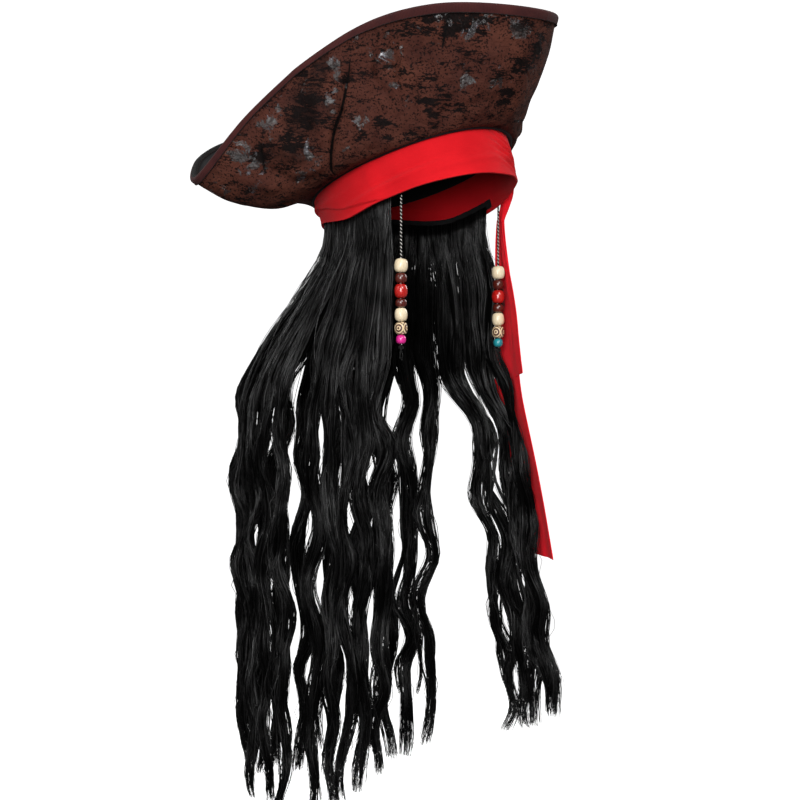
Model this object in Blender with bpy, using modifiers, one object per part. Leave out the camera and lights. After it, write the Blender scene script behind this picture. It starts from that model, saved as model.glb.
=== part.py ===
"""Pirate hat: a leather tricorn on a red bandana, with long hair locks and two bead strings.

Metres, +Z up, the wearer faces -Y and the wearer's left is +X. The origin is the centre of the
head opening, on the seam between crown and brim. The hat sits tilted back on the head, while
the hair, the beads and the bandana tails hang straight down.
"""

import math

import bmesh
import bpy
import numpy as np
from mathutils import Matrix, Vector

# ---------------------------------------------------------------- driving dimensions
MM = 0.001
GAP = 0.3 * MM                     # clearance between pieces that touch
TILT = math.radians(18.5)          # how far the hat leans back on the head
HEAD_SIDE = 80 * MM                # half width of the bandana's outer face
HEAD_LONG = 100 * MM               # half length of the bandana's outer face
RING_SEGMENTS = 54

CROWN_HEIGHT = 92 * MM
CROWN_TAPER = 14 * MM              # how far the crown's wall leans in at its top
CROWN_DOME = 7 * MM
LEATHER = 1.5 * MM
LINING = 0.8 * MM
SEAM_DIP = 4 * MM                  # the seam sits lower at the sides of the head

BRIM_START = 4.6 * MM              # brim's root outside the bandana's outer face
BRIM_OUTER = 1.2 * MM
BRIM_CORE = 1.6 * MM
BRIM_INNER = 0.8 * MM
BINDING_DEPTH = 7 * MM
BINDING_WALL = 0.8 * MM
BINDING_GAP = 0.7 * MM             # the binding's legs stand this far off the brim's faces
BINDING_END_GAP = 1.5 * MM         # and its fold this far beyond the brim's edge

BAND_THICKNESS = 2 * MM
BAND_HIDDEN = 12 * MM              # height of the bandana inside the crown
BAND_FRONT = 42 * MM               # visible height at the front and sides
BAND_BACK = 23 * MM
TAPE_THICKNESS = 1.2 * MM

CORD_DIAMETER = 2 * MM
CORD_ANGLE = 68.5                  # degrees from the front
BEAD_STACK_TOP = -0.086
BEAD_BORE = 1.4 * MM
BEADS = (                          # name, width and height in mm, roundness
    ("cream_top", 12.3, 12.5, 0.80),
    ("brown_upper", 10.5, 9.3, 0.62),
    ("red", 11.8, 12.9, 0.66),
    ("brown_lower", 10.2, 8.0, 0.62),
    ("cream_lower", 11.5, 12.3, 0.74),
    ("etched", 11.8, 11.3, 0.70),
    ("end", 8.9, 8.0, 0.55),
)

# The brim's free edge: angle from the front, distance from the axis, height above the seam.
BRIM_EDGE = (
    (0, 190, 83), (30, 149, 99), (60, 113, 105), (90, 132, 77),
    (105, 166, 54), (120, 208, 27), (135, 192, 56), (150, 166, 78), (180, 132, 90),
)
# The two inner control points of the brim's profile at that angle: distance, height, twice.
BRIM_BULGE = (
    (0, 120, -5, 159, 15), (30, 114, -8, 132, 24), (60, 108, -12, 116, 38),
    (90, 112, -18, 137, 18), (120, 122, -25, 170, -22), (150, 120, -14, 156, 10),
    (180, 125, -10, 140, 40),
)

TAIL_TOP = Vector((0.0845, -0.049, -0.0415))
TAIL_ALONG = Vector((0.384, 0.923, 0))          # the tails' width runs along the wearer's side
TAIL_THICKNESS = 1.6 * MM
KNOT_SIZE = (20 * MM, 11 * MM, 20 * MM)
KNOT_GAP = 2.5 * MM                # above the tails, so that they swing freely

LOCK_RADIUS = 5.2 * MM
LOCK_DROP = 5 * MM                 # from the bandana's lower edge to a lock's top
LOCK_POINTS = 15
WAVE_HEIGHT = 4 * MM
WAVE_LENGTH = 78 * MM
# Body of locks: first and last angle, locks, outward reach at both ends, length at both ends.
HAIR = (
    ("right", -79, -105, 5, 14, 44, 515, 540),
    ("back_right", -115, -147, 5, 62, 84, 545, 530),
    ("back", -158, -202, 5, 86, 80, 520, 530),
    ("back_left", -212, -237, 4, 70, 48, 525, 510),
    ("left", -247, -277, 5, 24, 0, 480, 470),
)
FLARE_HEIGHT = 170 * MM            # the locks lean out over this height, then hang straight
LEFT_LEAN = Vector((0.413, -0.959, 0))          # the left locks come forward over the shoulder

COLOURS = {
    "leather": ((0.085, 0.030, 0.022), 0.42),
    "core": ((0.10, 0.10, 0.10), 0.95),
    "black_cloth": ((0.012, 0.012, 0.013), 0.85),
    "binding": ((0.050, 0.018, 0.017), 0.80),
    "red_cloth": ((0.70, 0.012, 0.018), 0.80),
    "tape": ((0.015, 0.015, 0.016), 0.90),
    "hair": ((0.010, 0.010, 0.011), 0.45),
    "cord": ((0.06, 0.055, 0.05), 0.75),
    "cream": ((0.78, 0.66, 0.45), 0.40),
    "brown": ((0.055, 0.008, 0.006), 0.15),
    "red": ((0.55, 0.015, 0.010), 0.18),
    "pink": ((0.75, 0.03, 0.25), 0.35),
    "teal": ((0.02, 0.32, 0.38), 0.35),
}
BEAD_COLOURS = ("cream", "brown", "red", "brown", "cream", "cream")


# ---------------------------------------------------------------- helpers
def clear_scene():
    for found in list(bpy.data.objects):
        bpy.data.objects.remove(found, do_unlink=True)


def make_materials():
    made = {}
    for name, (colour, roughness) in COLOURS.items():
        material = bpy.data.materials.new(name)
        material.use_nodes = True
        shader = material.node_tree.nodes["Principled BSDF"]
        shader.inputs["Base Color"].default_value = (*colour, 1)
        shader.inputs["Roughness"].default_value = roughness
        shader.inputs["Metallic"].default_value = 0
        made[name] = material
    return made


def add_object(name, data, material, parent=None):
    made = bpy.data.objects.new(name, data)
    data.materials.append(MATERIALS[material])
    PARTS.objects.link(made)
    made.parent = parent
    return made


def mesh_of(name, points, faces):
    mesh = bpy.data.meshes.new(name)
    mesh.from_pydata([tuple(p) for p in points], [], faces)
    bm = bmesh.new()
    bm.from_mesh(mesh)
    bmesh.ops.recalc_face_normals(bm, faces=bm.faces)
    bm.to_mesh(mesh)
    bm.free()
    mesh.shade_smooth()
    return mesh


def grid_faces(rows, columns, closed):
    """Quads of a grid stored row by row; closed joins the last column to the first."""
    faces = []
    for row in range(rows - 1):
        for column in range(columns if closed else columns - 1):
            after = (column + 1) % columns
            a, b = row * columns + column, row * columns + after
            faces.append((a, b, b + columns, a + columns))
    return faces


def solidify(made, thickness, offset, away_from=(0, 0, 0)):
    """Thickens a surface; offset 1 grows it away from the point, and -1 towards it."""
    first = made.data.polygons[0]
    if first.normal.dot(first.center - Vector(away_from)) < 0:
        made.data.flip_normals()
    modifier = made.modifiers.new("Thickness", "SOLIDIFY")
    modifier.thickness = thickness
    modifier.offset = offset
    modifier.use_even_offset = False
    return made


def surface(name, rows, closed, material, parent=None):
    """An object from rows of points; each row has the same number of points."""
    points = [p for row in rows for p in row]
    mesh = bpy.data.meshes.new(name)
    mesh.from_pydata([tuple(p) for p in points], [], grid_faces(len(rows), len(rows[0]), closed))
    mesh.shade_smooth()
    return add_object(name, mesh, material, parent)


def ring_point(degrees, offset=0.0):
    """A point of the head's oval, moved outwards by offset, in the hat's frame."""
    angle = math.radians(degrees)
    x, y = HEAD_SIDE * math.sin(angle), -HEAD_LONG * math.cos(angle)
    normal = Vector((x / HEAD_SIDE**2, y / HEAD_LONG**2, 0)).normalized()
    return Vector((x, y, 0)) + normal * offset


def outwards(degrees):
    angle = math.radians(degrees)
    return Vector((math.sin(angle), -math.cos(angle), 0))


def to_world(point):
    return Matrix.Rotation(-TILT, 3, "X") @ Vector(point)


def seam_height(degrees):
    return -SEAM_DIP * math.sin(math.radians(degrees)) ** 2


def band_bottom(degrees):
    """Height of the bandana's lower edge: level round the front and sides, higher at the back."""
    turn = abs((degrees + 180) % 360 - 180)
    rise = min(max((turn - 100) / 50, 0), 1)
    return -BAND_FRONT + (BAND_FRONT - BAND_BACK) * rise * rise * (3 - 2 * rise)


def angles(count=RING_SEGMENTS):
    return [360 * k / count for k in range(count)]


def around(keys, degrees):
    """Smooth value at an angle from keys given for 0 to 180 degrees, the same on both sides."""
    turn = abs((degrees + 180) % 360 - 180)
    stops = [k[0] for k in keys]
    n = max(i for i in range(len(keys) - 1) if stops[i] <= turn)
    mirror = {-1: 1, len(keys): len(keys) - 2}
    near = [keys[mirror.get(i, i)][1:] for i in (n - 1, n, n + 1, n + 2)]
    u = (turn - stops[n]) / (stops[n + 1] - stops[n])
    p0, p1, p2, p3 = (np.array(v) * MM for v in near)
    slope = 3 * p1 - p0 - 3 * p2 + p3
    return 0.5 * (2 * p1 + (p2 - p0) * u + (2 * p0 - 5 * p1 + 4 * p2 - p3) * u**2 + slope * u**3)


# ---------------------------------------------------------------- crown
def crown_row(degrees_list, offset, height, dip):
    return [ring_point(a, offset) + Vector((0, 0, height + dip * seam_height(a)))
            for a in degrees_list]


def make_crown(frame):
    turn = angles(40)
    wall = [(GAP, 0, 1), (GAP, 0.35, 0.5), (-0.3 * CROWN_TAPER, 0.7, 0), (-CROWN_TAPER, 1, 0)]
    rows = [crown_row(turn, off, up * CROWN_HEIGHT, dip) for off, up, dip in wall]
    solidify(surface("crown_side", rows, True, "leather", frame), LEATHER, 1)

    rim = -CROWN_TAPER + LEATHER
    rows = []
    for share in (1, 0.82, 0.5, 0.15):
        up = CROWN_HEIGHT + LEATHER / 2 + GAP + CROWN_DOME * (1 - share**2)
        rows.append([ring_point(a, rim) * share + Vector((0, 0, up)) for a in turn])
    tip = surface("crown_tip", rows, True, "leather", frame)
    close_middle(tip, len(turn), len(rows))
    solidify(tip, LEATHER, 1)

    inside = [(-GAP, BAND_HIDDEN + 2 * MM), (-GAP, 0.35 * CROWN_HEIGHT),
              (-0.3 * CROWN_TAPER - GAP, 0.7 * CROWN_HEIGHT),
              (-CROWN_TAPER - GAP, CROWN_HEIGHT - 4 * MM)]
    rows = [crown_row(turn, off, up, 0) for off, up in inside]
    top = CROWN_HEIGHT - 1.5 * MM
    rows.append([ring_point(a, -CROWN_TAPER) * 0.85 + Vector((0, 0, top)) for a in turn])
    rows.append([ring_point(a, -CROWN_TAPER) * 0.2 + Vector((0, 0, top)) for a in turn])
    lining = surface("crown_lining", rows, True, "black_cloth", frame)
    close_middle(lining, len(turn), len(rows))
    solidify(lining, LINING, -1)

    rows = [crown_row(turn, -BAND_THICKNESS - GAP, up, 0) for up in (-3 * MM, 20 * MM)]
    solidify(surface("sweatband", rows, True, "black_cloth", frame), TAPE_THICKNESS, -1)


def close_middle(made, columns, rows):
    """Fills the last ring of a surface, so that it is a cap."""
    bm = bmesh.new()
    bm.from_mesh(made.data)
    bm.verts.ensure_lookup_table()
    last = [bm.verts[(rows - 1) * columns + k] for k in range(columns)]
    bm.faces.new(last)
    bm.normal_update()
    bmesh.ops.triangulate(bm, faces=[face for face in bm.faces if len(face.verts) > 4])
    bm.to_mesh(made.data)
    bm.free()


# ---------------------------------------------------------------- brim
def brim_point(degrees, share):
    """A point on the brim's outer face: share 0 at the crown, 1 at the free edge."""
    edge = around(BRIM_EDGE, degrees)
    bulge = around(BRIM_BULGE, degrees)
    way = outwards(degrees)
    corners = (
        ring_point(degrees, BRIM_START) + Vector((0, 0, seam_height(degrees))),
        way * bulge[0] + Vector((0, 0, bulge[1])),
        way * bulge[2] + Vector((0, 0, bulge[3])),
        way * edge[0] + Vector((0, 0, edge[1])),
    )
    left = 1 - share
    weights = (left**3, 3 * left**2 * share, 3 * left * share**2, share**3)
    return sum((c * w for c, w in zip(corners, weights)), Vector())


def brim_normal(degrees, share):
    """The direction from the brim's outer face to its inner one."""
    step = 0.5
    along = brim_point(degrees + step, share) - brim_point(degrees - step, share)
    low, high = max(share - 0.01, 0), min(share + 0.01, 1)
    out = brim_point(degrees, high) - brim_point(degrees, low)
    return out.cross(along).normalized()


def binding_share(degrees):
    """Where the binding's legs end, as a share of the profile."""
    end = brim_point(degrees, 1)
    share = 1.0
    while (brim_point(degrees, share) - end).length < BINDING_DEPTH:
        share -= 0.002
    return share


def make_brim(frame):
    turn = angles()
    legs = {a: binding_share(a) for a in turn}
    stack = 0.0
    layers = (("brim_outer", BRIM_OUTER, "leather"), ("brim_core", BRIM_CORE, "core"),
              ("brim_inner", BRIM_INNER, "black_cloth"))
    for name, thickness, material in layers:
        rows = []
        for row in (0, 0.2, 0.4, 0.6, 0.8, None, 1):
            shares = [(a, legs[a] if row is None else row) for a in turn]
            rows.append([brim_point(a, s) + brim_normal(a, s) * stack for a, s in shares])
        layer = surface(name, rows, True, material, frame)
        solidify(layer, thickness, 1, away_from=(0, 0, -10))
        stack += thickness + GAP
    make_binding(turn, legs, stack - GAP, frame)


def make_binding(turn, legs, stack, frame):
    near, far = BINDING_GAP, BINDING_GAP + BINDING_WALL
    inner, outer = BINDING_END_GAP, BINDING_END_GAP + BINDING_WALL
    section = ((0, -far), (outer, -far), (outer, stack + far), (0, stack + far),
               (0, stack + near), (inner, stack + near), (inner, -near), (0, -near))
    points = []
    for a in turn:
        edge, leg = brim_point(a, 1), brim_point(a, legs[a])
        out = (edge - leg).normalized()
        for step, up in section:
            if step:
                points.append(edge + out * step + brim_normal(a, 1) * up)
            else:
                points.append(leg + brim_normal(a, legs[a]) * up)
    count = len(section)
    faces = []
    for k in range(len(turn)):
        after = (k + 1) % len(turn)
        for i in range(count):
            j = (i + 1) % count
            faces.append((k * count + i, after * count + i, after * count + j, k * count + j))
    add_object("brim_binding", mesh_of("brim_binding", points, faces), "binding", frame)


# ---------------------------------------------------------------- bandana
def make_band(frame):
    turn = angles(48)
    rows = []
    for share in (0, 0.5, 1):
        row = []
        for a in turn:
            low = band_bottom(a)
            row.append(ring_point(a) + Vector((0, 0, low + share * (BAND_HIDDEN - low))))
        rows.append(row)
    solidify(surface("bandana_band", rows, True, "red_cloth", frame), BAND_THICKNESS, -1)


def make_knot():
    bm = bmesh.new()
    bmesh.ops.create_uvsphere(bm, u_segments=14, v_segments=9, radius=0.5)
    bmesh.ops.scale(bm, vec=Vector(KNOT_SIZE), verts=bm.verts)
    for vert in bm.verts:
        vert.co.x *= 1 - 0.25 * math.cos(math.pi * vert.co.z / KNOT_SIZE[2]) ** 2
    mesh = bpy.data.meshes.new("bandana_knot")
    bm.to_mesh(mesh)
    bm.free()
    mesh.shade_smooth()
    made = add_object("bandana_knot", mesh, "red_cloth")
    made.location = TAIL_TOP + Vector((0, 0, KNOT_SIZE[2] / 2 + KNOT_GAP))
    made.rotation_euler.z = math.atan2(TAIL_ALONG.y, TAIL_ALONG.x)


def make_tail(name, top, stations):
    """A ribbon: each station is drop, half width, shift along the width, shift outwards, in mm."""
    along = TAIL_ALONG.normalized()
    away = along.cross(Vector((0, 0, 1)))
    rows = []
    for drop, half, shift, lean in stations:
        middle = (along * shift + away * lean - Vector((0, 0, drop))) * MM
        rows.append([middle + along * half * side * MM for side in (-1, 0, 1)])
    made = solidify(surface(name, rows, False, "red_cloth"), TAIL_THICKNESS, 0)
    made.location = top


def make_tails():
    away = TAIL_ALONG.cross(Vector((0, 0, 1))).normalized()
    make_tail("bandana_tail_short", TAIL_TOP - away * 1.5 * MM, (
        (0, 6, 0, 0), (25, 8, 0, 0), (60, 15, 0, 0), (110, 21, -2, 0), (154, 25, -4, 0)))
    make_tail("bandana_tail_long", TAIL_TOP + away * 1.5 * MM, (
        (0, 6, 2, 0), (40, 12, 4, 3), (100, 20, 6, 8), (160, 24, 4, 14),
        (220, 25, -2, 24), (280, 25, -8, 36), (318, 25, -10, 44)))


# ---------------------------------------------------------------- hair
def make_weft(frame):
    turn = np.linspace(CORD_ANGLE + 6, 360 - CORD_ANGLE - 6, 33)
    offset = -BAND_THICKNESS - GAP
    rows = [[ring_point(a, offset) + Vector((0, 0, band_bottom(a) + up)) for a in turn]
            for up in (2 * MM, 10 * MM)]
    solidify(surface("hair_weft", rows, False, "tape", frame), TAPE_THICKNESS, -1)


def lock_path(degrees, reach, length, forward):
    """Points down a lock: it leans out by reach, or comes forward, and waves along the band."""
    top = to_world(ring_point(degrees, -LOCK_RADIUS + 0.6 * MM)
                   + Vector((0, 0, band_bottom(degrees) - LOCK_DROP)))
    out = outwards(degrees)
    side = Vector((-out.y, out.x, 0))
    points = []
    for k in range(LOCK_POINTS):
        drop = length * k / (LOCK_POINTS - 1)
        lean = min(drop / FLARE_HEIGHT, 1)
        lean = lean * lean * (3 - 2 * lean)
        wave = WAVE_HEIGHT * math.sin(2 * math.pi * drop / WAVE_LENGTH) * min(drop / 0.06, 1)
        point = top + out * (reach * lean) + side * wave - Vector((0, 0, drop))
        if forward:
            point += LEFT_LEAN * forward_step(drop)
        points.append(point)
    return points


def forward_step(drop):
    """How far the left locks have come forward: from the shoulder down, then slowly on."""
    start = min(max((drop - 0.13) / 0.07, 0), 1)
    return 0.030 * start * start * (3 - 2 * start) + 0.13 * max(drop - 0.2, 0)


def make_lock(name, points):
    curve = bpy.data.curves.new(name, "CURVE")
    curve.dimensions = "3D"
    curve.bevel_depth = LOCK_RADIUS
    curve.bevel_resolution = 1
    curve.use_fill_caps = True
    spline = curve.splines.new("POLY")
    spline.points.add(len(points) - 1)
    for k, (slot, point) in enumerate(zip(spline.points, points)):
        share = k / (len(points) - 1)
        slot.co = (*(point - points[0]), 1)
        slot.radius = 0.9 if k == 0 else 1 - 0.55 * max(share - 0.75, 0) / 0.25
    made = add_object(name, curve, "hair")
    made.location = points[0]


def make_hair():
    for name, first, last, count, reach_a, reach_b, length_a, length_b in HAIR:
        for k in range(count):
            share = k / (count - 1)
            reach = (reach_a + (reach_b - reach_a) * share) * MM
            length = (length_a + (length_b - length_a) * share) * MM
            path = lock_path(first + (last - first) * share, reach, length, name == "left")
            make_lock(f"hair_{name}_{k + 1}", path)


# ---------------------------------------------------------------- bead strings
def string_top(side):
    """Where a cord leaves the bandana's lower edge; side is -1 on the wearer's right."""
    inside = ring_point(side * CORD_ANGLE, -3.5 * MM)
    return to_world(inside + Vector((0, 0, band_bottom(CORD_ANGLE) - 1.5 * MM)))


def make_cord(name, top, bottom):
    count = 28
    curve = bpy.data.curves.new(name, "CURVE")
    curve.dimensions = "3D"
    curve.bevel_depth = CORD_DIAMETER / 2
    curve.bevel_resolution = 2
    curve.use_fill_caps = True
    spline = curve.splines.new("POLY")
    spline.points.add(count - 1)
    for k, slot in enumerate(spline.points):
        slot.co = (0, 0, (bottom - top.z) * k / (count - 1), 1)
    made = add_object(name, curve, "cord")
    made.location = top


def make_bead(name, place, width, height, roundness, material):
    """A pierced bead, turned from a closed profile round the cord."""
    radius, half = width / 2 * MM, height / 2 * MM
    face = radius * roundness
    outline = ((BEAD_BORE, half), (face, half), (radius * 0.97, half * 0.45),
               (radius * 0.97, -half * 0.45), (face, -half), (BEAD_BORE, -half))
    mesh = bpy.data.meshes.new(name)
    edges = [(k, (k + 1) % len(outline)) for k in range(len(outline))]
    mesh.from_pydata([(x, 0, z) for x, z in outline], edges, [])
    made = add_object(name, mesh, material)
    made.location = place
    screw = made.modifiers.new("Turn", "SCREW")
    screw.steps = screw.render_steps = 12
    screw.use_merge_vertices = True
    screw.merge_threshold = 0.00001
    screw.use_smooth_shade = True


def make_end_knot(name, place):
    """The knot under the last bead, with the cord's two short ends as one drop."""
    bm = bmesh.new()
    bmesh.ops.create_uvsphere(bm, u_segments=10, v_segments=8, radius=2.6 * MM)
    for vert in bm.verts:
        if vert.co.z < 0:
            vert.co.z *= 5
            vert.co.y *= 0.7
    mesh = bpy.data.meshes.new(name)
    bm.to_mesh(mesh)
    bm.free()
    mesh.shade_smooth()
    made = add_object(name, mesh, "cord")
    made.location = place


def make_strings():
    for side, end_colour, label in ((-1, "pink", "right"), (1, "teal", "left")):
        top = string_top(side)
        height = BEAD_STACK_TOP
        for (name, width, tall, roundness), colour in zip(BEADS, (*BEAD_COLOURS, end_colour)):
            place = Vector((top.x, top.y, height - tall / 2 * MM))
            make_bead(f"bead_{name}_{label}", place, width, tall, roundness, colour)
            height -= tall * MM + GAP
        make_cord(f"bead_cord_{label}", top, height - 0.2 * MM)
        make_end_knot(f"bead_knot_{label}", Vector((top.x, top.y, height - 0.5 * MM - 2.6 * MM)))


# ---------------------------------------------------------------- the whole hat
clear_scene()
PARTS = bpy.data.collections.new("pirate_hat")
bpy.context.scene.collection.children.link(PARTS)
MATERIALS = make_materials()
HAT_FRAME = bpy.data.objects.new("hat_frame", None)
HAT_FRAME.rotation_euler.x = -TILT
PARTS.objects.link(HAT_FRAME)

make_crown(HAT_FRAME)
make_brim(HAT_FRAME)
make_band(HAT_FRAME)
make_weft(HAT_FRAME)
make_knot()
make_tails()
make_hair()
make_strings()
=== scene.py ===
"""Looks of the pirate hat: leather tricorn, red bandana, black locks and two bead strings.

Everything is in metres in the row frame: +Z up, the wearer faces -Y, the wearer's left is +X.
The hat leans back by TILT; hair, tails and bead strings hang straight down.
"""
import math

import bmesh
import bpy
import numpy as np
from mathutils import Matrix, Vector


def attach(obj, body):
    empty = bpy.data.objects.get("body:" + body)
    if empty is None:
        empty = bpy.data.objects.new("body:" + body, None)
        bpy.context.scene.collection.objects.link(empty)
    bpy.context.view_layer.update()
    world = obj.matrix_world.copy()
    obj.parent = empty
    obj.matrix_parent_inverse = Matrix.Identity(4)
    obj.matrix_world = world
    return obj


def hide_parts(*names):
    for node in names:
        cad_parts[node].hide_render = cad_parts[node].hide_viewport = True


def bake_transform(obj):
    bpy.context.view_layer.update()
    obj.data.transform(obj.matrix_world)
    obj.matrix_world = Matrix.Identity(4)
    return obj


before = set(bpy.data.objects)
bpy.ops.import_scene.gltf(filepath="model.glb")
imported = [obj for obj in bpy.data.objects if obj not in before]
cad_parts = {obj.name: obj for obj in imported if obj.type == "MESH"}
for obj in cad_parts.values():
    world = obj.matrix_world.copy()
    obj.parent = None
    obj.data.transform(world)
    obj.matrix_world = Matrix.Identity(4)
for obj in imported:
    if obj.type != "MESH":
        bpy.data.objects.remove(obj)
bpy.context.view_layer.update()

MM = 0.001
TAU = 2 * math.pi
UP = np.array((0, 0, 1.0))
RNG = np.random.default_rng(20183)     # the beads draw from it, in the order they are made

# ---------------------------------------------------------------- the hat's dimensions
TILT = math.radians(18.5)
HEAD_SIDE = 80 * MM
HEAD_LONG = 100 * MM
CROWN_HEIGHT = 92 * MM
CROWN_TAPER = 14 * MM
CROWN_DOME = 7 * MM
CROWN_WALL = 1.5 * MM
SEAM_DIP = 4 * MM
BRIM_START = 4.6 * MM
BRIM_STACK = 4.2 * MM              # leather, buckram and facing together
LEATHER_DEPTH = 3.1 * MM           # leather and buckram
BINDING_DEPTH = 6.8 * MM           # on the brim's outer face
BINDING_INSIDE = 4.8 * MM
BAND_HIDDEN = 12 * MM
BAND_FRONT = 42 * MM
BAND_BACK = 23 * MM
BRIM_EDGE = (
    (0, 189, 74), (30, 148, 98), (60, 113, 106), (90, 132, 84.5),
    (105, 165, 56), (120, 204, 20), (135, 191, 54), (150, 166, 79), (180, 132, 90),
)
BRIM_BULGE = (
    (0, 119, -3, 154, 19), (30, 106, -3, 122, 30), (60, 98, -8, 113, 39),
    (90, 113, -19, 137, 18), (120, 123, -24, 170, -22), (150, 107, 6, 154, 17),
    (180, 109, 7, 138, 45),
)
CORD_ANGLE = 68.5
CORD_TWIST = 3.3 * MM              # the drop in which a ply goes once round
PLY_RADIUS = 0.47 * MM
PLY_OFFSET = 0.50 * MM             # from the cord's axis
BEAD_BORE = 1.35 * MM              # radius
BEAD_STACK_TOP = -0.086
BEAD_GAP = 0.3 * MM
BEADS = (                          # name, width and height in mm, roundness
    ("cream_top", 12.3, 12.5, 0.80),
    ("brown_upper", 10.5, 9.3, 0.62),
    ("red", 11.8, 12.9, 0.66),
    ("brown_lower", 10.2, 8.0, 0.62),
    ("cream_lower", 11.5, 12.3, 0.74),
    ("etched", 11.8, 11.3, 0.70),
    ("end", 8.9, 8.0, 0.55),
)
TAIL_TOP = np.array((0.0845, -0.049, -0.0415))
TAIL_ALONG = np.array((0.384, 0.923, 0.0))
TAIL_AWAY = np.array((0.923, -0.384, 0.0))
NECK_IN = 2.4 * MM                 # the gathered neck's place beside the tails' hinge
NECK_BACK = 8.0 * MM
TAIL_CLOTH = 0.5 * MM              # half the tails' thickness
HAIR_ROOT = -3.9 * MM              # from the head's oval, inside the band
ROOT_LIFT = 5 * MM                 # above the band's lower edge
LOCK_RADIUS = 5.2 * MM
LOCK_DROP = 5 * MM
FLARE_HEIGHT = 170 * MM
LEFT_LEAN = np.array((0.413, -0.959, 0.0))
HAIR = (                           # body, end angles, locks, reach and length at both ends
    ("right", -79, -105, 5, 14, 44, 515, 540),
    ("back_right", -115, -147, 5, 62, 84, 545, 530),
    ("back", -158, -202, 5, 86, 80, 520, 530),
    ("back_left", -212, -237, 4, 70, 48, 525, 510),
    ("left", -247, -277, 5, 24, 0, 480, 470),
)


# ---------------------------------------------------------------- shapes from the dimensions
def smoothstep(x):
    """0 to 1 with a soft start and end as x goes from 0 to 1."""
    x = np.clip(x, 0, 1)
    return x * x * (3 - 2 * x)


def to_world(points):
    """Points or directions from the hat's upright frame to the row frame."""
    x, y, z = np.moveaxis(np.asarray(points, float), -1, 0)
    c, s = math.cos(TILT), math.sin(TILT)
    return np.stack([x, y * c + z * s, z * c - y * s], -1)


def ring_point(degrees, offset=0.0, height=0.0):
    """A point of the head's oval in the hat's frame, moved outwards and up."""
    angle = np.radians(degrees)
    x, y = HEAD_SIDE * np.sin(angle), -HEAD_LONG * np.cos(angle)
    nx, ny = x / HEAD_SIDE**2, y / HEAD_LONG**2
    size = np.hypot(nx, ny)
    return np.stack([x + nx / size * offset, y + ny / size * offset, height + 0 * angle], -1)


def outwards(degrees):
    """The level direction from the head at an angle: 0 is the front, 90 the wearer's left."""
    angle = np.radians(degrees)
    return np.stack([np.sin(angle), -np.cos(angle), 0 * angle], -1)


def seam_height(degrees):
    """The seam of crown and brim dips at the sides."""
    return -SEAM_DIP * np.sin(np.radians(degrees)) ** 2


def ring_angles(count):
    return np.arange(count) * 360 / count


def signed(degrees):
    """The same angles between -180 and 180."""
    return (np.asarray(degrees, float) + 180) % 360 - 180


def band_bottom(degrees):
    """The height of the bandana's lower edge, which rises towards the back."""
    turn = np.abs(signed(degrees))
    return -BAND_FRONT + (BAND_FRONT - BAND_BACK) * smoothstep((turn - 100) / 50)


def around(keys, degrees):
    """Smooth values at angles from keys given for 0 to 180 degrees, the same on both sides."""
    turn = np.abs(signed(degrees))
    table = np.array(keys, float)
    stops, values = table[:, 0], table[:, 1:] * MM
    n = np.clip(np.searchsorted(stops, turn, side="right") - 1, 0, len(stops) - 2)
    before = np.where(n == 0, 1, n - 1)
    after = np.where(n + 2 == len(stops), len(stops) - 2, n + 2)
    u = ((turn - stops[n]) / (stops[n + 1] - stops[n]))[..., None]
    p0, p1, p2, p3 = values[before], values[n], values[n + 1], values[after]
    slope = 3 * p1 - p0 - 3 * p2 + p3
    return 0.5 * (2 * p1 + (p2 - p0) * u + (2 * p0 - 5 * p1 + 4 * p2 - p3) * u**2 + slope * u**3)


def brim_point(degrees, share):
    """The brim's outer face: share 0 at the crown, 1 at the free edge."""
    degrees, share = np.broadcast_arrays(np.asarray(degrees, float), np.asarray(share, float))
    edge, bulge, way = around(BRIM_EDGE, degrees), around(BRIM_BULGE, degrees), outwards(degrees)
    corners = (
        ring_point(degrees, BRIM_START) + seam_height(degrees)[..., None] * UP,
        way * bulge[..., :1] + UP * bulge[..., 1:2],
        way * bulge[..., 2:3] + UP * bulge[..., 3:4],
        way * edge[..., :1] + UP * edge[..., 1:2],
    )
    s = share[..., None]
    left = 1 - s
    weights = (left**3, 3 * left**2 * s, 3 * left * s**2, s**3)
    return sum(c * w for c, w in zip(corners, weights))


def brim_normal(degrees, share):
    """The direction from the brim's outer face to its inner one."""
    along = brim_point(degrees + 0.5, share) - brim_point(degrees - 0.5, share)
    low, high = np.clip(share - 0.01, 0, 1), np.clip(share + 0.01, 0, 1)
    across = brim_point(degrees, high) - brim_point(degrees, low)
    normal = np.cross(across, along)
    return normal / np.linalg.norm(normal, axis=-1, keepdims=True)


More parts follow.
